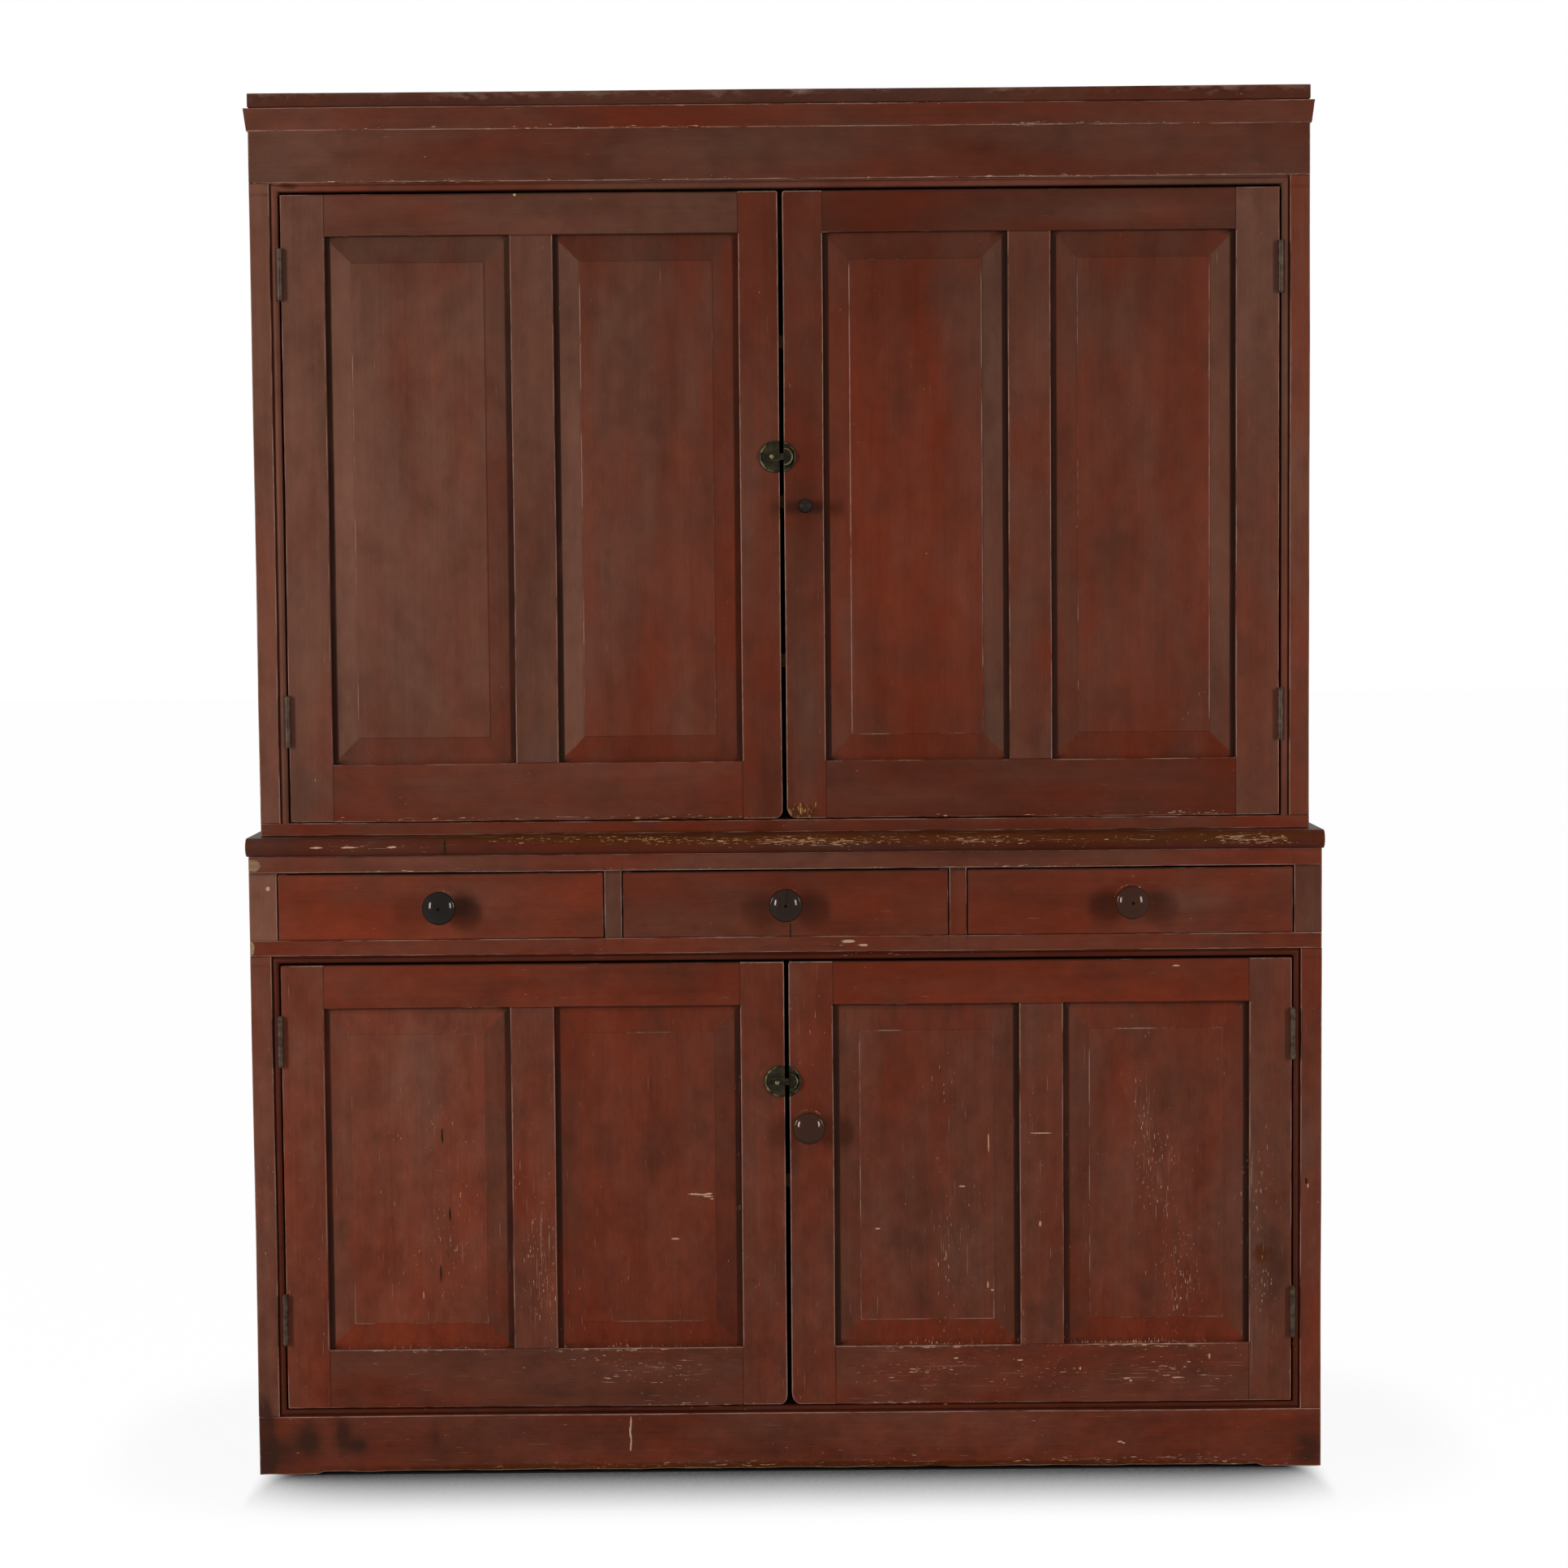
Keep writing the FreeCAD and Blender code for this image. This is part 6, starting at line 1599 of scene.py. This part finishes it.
class PRESS_OT_inside(bpy.types.Operator):
    """Finish the bare boards inside and behind"""

    bl_idname = "press.inside"
    bl_label = "Bare boards"
    bl_options = UNDOABLE

    def execute(self, context):
        level = finish_material("aged_pine_level", lambda tree: bare_pine(tree, X))
        upright = finish_material("aged_pine_upright", lambda tree: bare_pine(tree, Z))
        deep = finish_material("aged_pine_deep", lambda tree: bare_pine(tree, Y))
        for name in ("upper_shelves", "lower_shelf", "upper_floor_board", "lower_floor_board"):
            keep_node(name, level, 0.6)
        for case in ("upper", "lower"):
            self.back_boards(f"{case}_back_boards", upright)
        for name in ("drawer_runners", "drawer_kickers", *[f"{drawer}_box" for drawer in DRAWERS]):
            keep_node(name, deep)
        return {"FINISHED"}

    def back_boards(self, name, material):
        """Boards side by side, each a box whose long edges are eased, so that a groove shows at each
        joint."""
        count = 5
        eased = size("back_edge")
        low, high = box(name)
        chance = seeded(name)
        half = (high - low) / 2 / (count, 1, 1)
        points, faces = rounded_box(half, np.array((eased, eased, size("joint"))), 150)
        made = []
        for number in range(count):
            centre = low + half * (2 * number + 1, 1, 1)
            aging = np.full(len(points), chance.uniform(-0.22, 0.18))
            made.append(Surface(points + centre, faces, aging=aging))
        add_piece(f"{name}_planed", joined(made), "carcase", [name], material)


class PRESS_OT_stage(bpy.types.Operator):
    """Set the floor, the sky, the lamps and the camera"""

    bl_idname = "press.stage"
    bl_label = "Stage"
    bl_options = UNDOABLE

    def execute(self, context):
        stage = context.scene.press_stage
        self.floor()
        self.sky(stage.sky)
        for name, aside, power in (("key", -4.3, stage.key_power), ("fill", 4.3, stage.fill_power)):
            place = (aside, -3.45, 1.85)
            self.lamp(f"{name}_lamp", place, (0.55, 2.1), power * 0.9)
            self.lamp(f"{name}_glow", place, (1.4, 3.2), power * 0.1)
        self.camera(stage)
        context.scene.view_settings.view_transform = "Standard"
        return {"FINISHED"}

    def seen(self, tree):
        """One for what the camera, a reflection or a clear body sees, and nought for the light that
        things get."""
        path = node(tree, "ShaderNodeLightPath")
        seen = node(tree, MATH, MAXIMUM, {0: path.outputs["Is Camera Ray"], 1: path.outputs["Is Glossy Ray"]})
        return node(tree, MATH, MAXIMUM, {0: seen, 1: path.outputs["Is Transmission Ray"]})

    def floor(self):
        """A wide pale floor that is lifted to white where it is seen, and still takes the shadow."""
        half, level = 30.0, -0.0003
        mesh = bpy.data.meshes.new("floor")
        corners = [(x * half, y * half, level) for x, y in ((-1, -1), (1, -1), (1, 1), (-1, 1))]
        mesh.from_pydata(corners, [], [(0, 1, 2, 3)])
        made = bpy.data.objects.new("floor", mesh)
        bpy.context.scene.collection.objects.link(made)
        material = bpy.data.materials.new("white_paper_floor")
        material.use_nodes = True
        tree = material.node_tree
        tree.nodes.clear()
        lift = node(tree, MATH, MULTIPLY, {0: self.seen(tree), 1: 0.94})
        matt = node(tree, "ShaderNodeBsdfDiffuse", None, {"Color": PALE})
        # The shadow is darkest within 0.3 m of the press, and ends with it at the sides
        near = node(tree, "ShaderNodeAmbientOcclusion", {"samples": 16}, {"Distance": 0.3}).outputs["AO"]
        near = node(tree, MAP_RANGE, None, {0: near, 1: 0.5, 2: 0.95, 3: 0.0, 4: 1.05})
        place = node(tree, "ShaderNodeSeparateXYZ", None, {0: node(tree, COORDINATES).outputs["Object"]})
        aside = node(tree, MATH, ABSOLUTE, {0: place.outputs["X"]})
        end = CAD_BOX[1][X]
        past = node(tree, MAP_RANGE, SMOOTH, {0: aside, 1: end - 0.06, 2: end + 0.005, 3: 0.0, 4: 1.0})
        near = node(tree, MATH, MAXIMUM, {0: near, 1: past})
        glow = node(tree, "ShaderNodeEmission", None, {"Color": WHITE, "Strength": near})
        mixed = node(tree, "ShaderNodeMixShader", None, {0: lift, 1: matt, 2: glow})
        node(tree, "ShaderNodeOutputMaterial", None, {"Surface": mixed})
        mesh.materials.append(material)

    def sky(self, strength):
        """A white world where it is seen, and a low even light elsewhere."""
        world = bpy.data.worlds.new("white_studio")
        world.use_nodes = True
        tree = world.node_tree
        tree.nodes.clear()
        low = node(tree, "ShaderNodeBackground", None, {"Color": WHITE, "Strength": strength})
        white = node(tree, "ShaderNodeBackground", None, {"Color": WHITE, "Strength": 1.0})
        mixed = node(tree, "ShaderNodeMixShader", None, {0: self.seen(tree), 1: low, 2: white})
        node(tree, "ShaderNodeOutputWorld", None, {"Surface": mixed})
        bpy.context.scene.world = world

    def lamp(self, name, place, area, power):
        """A soft box that faces the middle of the press."""
        middle = Vector((0, -0.2, 1.1))
        lamp = bpy.data.lights.new(name, "AREA")
        lamp.shape = "RECTANGLE"
        lamp.size, lamp.size_y = area
        lamp.energy = power
        made = bpy.data.objects.new(name, lamp)
        bpy.context.scene.collection.objects.link(made)
        made.location = place
        made.rotation_euler = (middle - Vector(place)).to_track_quat("-Z", "Y").to_euler()

    def camera(self, stage):
        """A camera in front of the press, turned a little down and rolled as the picture is."""
        camera = bpy.data.cameras.new("camera")
        camera.lens = stage.lens
        camera.sensor_width = 36
        camera.clip_end = 60
        eye = bpy.data.objects.new("camera", camera)
        bpy.context.scene.collection.objects.link(eye)
        turn = Matrix.Rotation(math.radians(90) - stage.pitch, 4, "X") @ Matrix.Rotation(-stage.roll, 4, "Z")
        eye.matrix_world = Matrix.Translation(stage.eye) @ turn
        bpy.context.scene.camera = eye


STEPS = (
    PRESS_OT_crown, PRESS_OT_case_frames, PRESS_OT_waist, PRESS_OT_sides, PRESS_OT_beads, PRESS_OT_doors,
    PRESS_OT_drawer_fronts, PRESS_OT_knobs, PRESS_OT_ironwork, PRESS_OT_inside, PRESS_OT_stage,
)


class PRESS_PT_panel(bpy.types.Panel):
    """Lists the steps that dress the press"""

    bl_idname = "PRESS_PT_panel"
    bl_label = "Linen Press"
    bl_space_type = "VIEW_3D"
    bl_region_type = "UI"
    bl_category = "Linen Press"

    def draw(self, context):
        for step in STEPS:
            self.layout.operator(step.bl_idname)


GROUPS = {"press_sizes": PressSizes, "press_colours": PressColours, "press_stage": PressStage}


def register():
    """Registers the classes and hangs the property groups on the scene."""
    for made in (*GROUPS.values(), *STEPS, PRESS_PT_panel):
        bpy.utils.register_class(made)
    for name, group in GROUPS.items():
        setattr(bpy.types.Scene, name, bpy.props.PointerProperty(type=group))


def unregister():
    """Takes the classes and the property groups away."""
    for name in GROUPS:
        delattr(bpy.types.Scene, name)
    for made in reversed((*GROUPS.values(), *STEPS, PRESS_PT_panel)):
        bpy.utils.unregister_class(made)


def main():
    """Dresses the press step by step."""
    register()
    for step in STEPS:
        group, name = step.bl_idname.split(".")
        getattr(getattr(bpy.ops, group), name)()


if __name__ == "__main__":
    main()
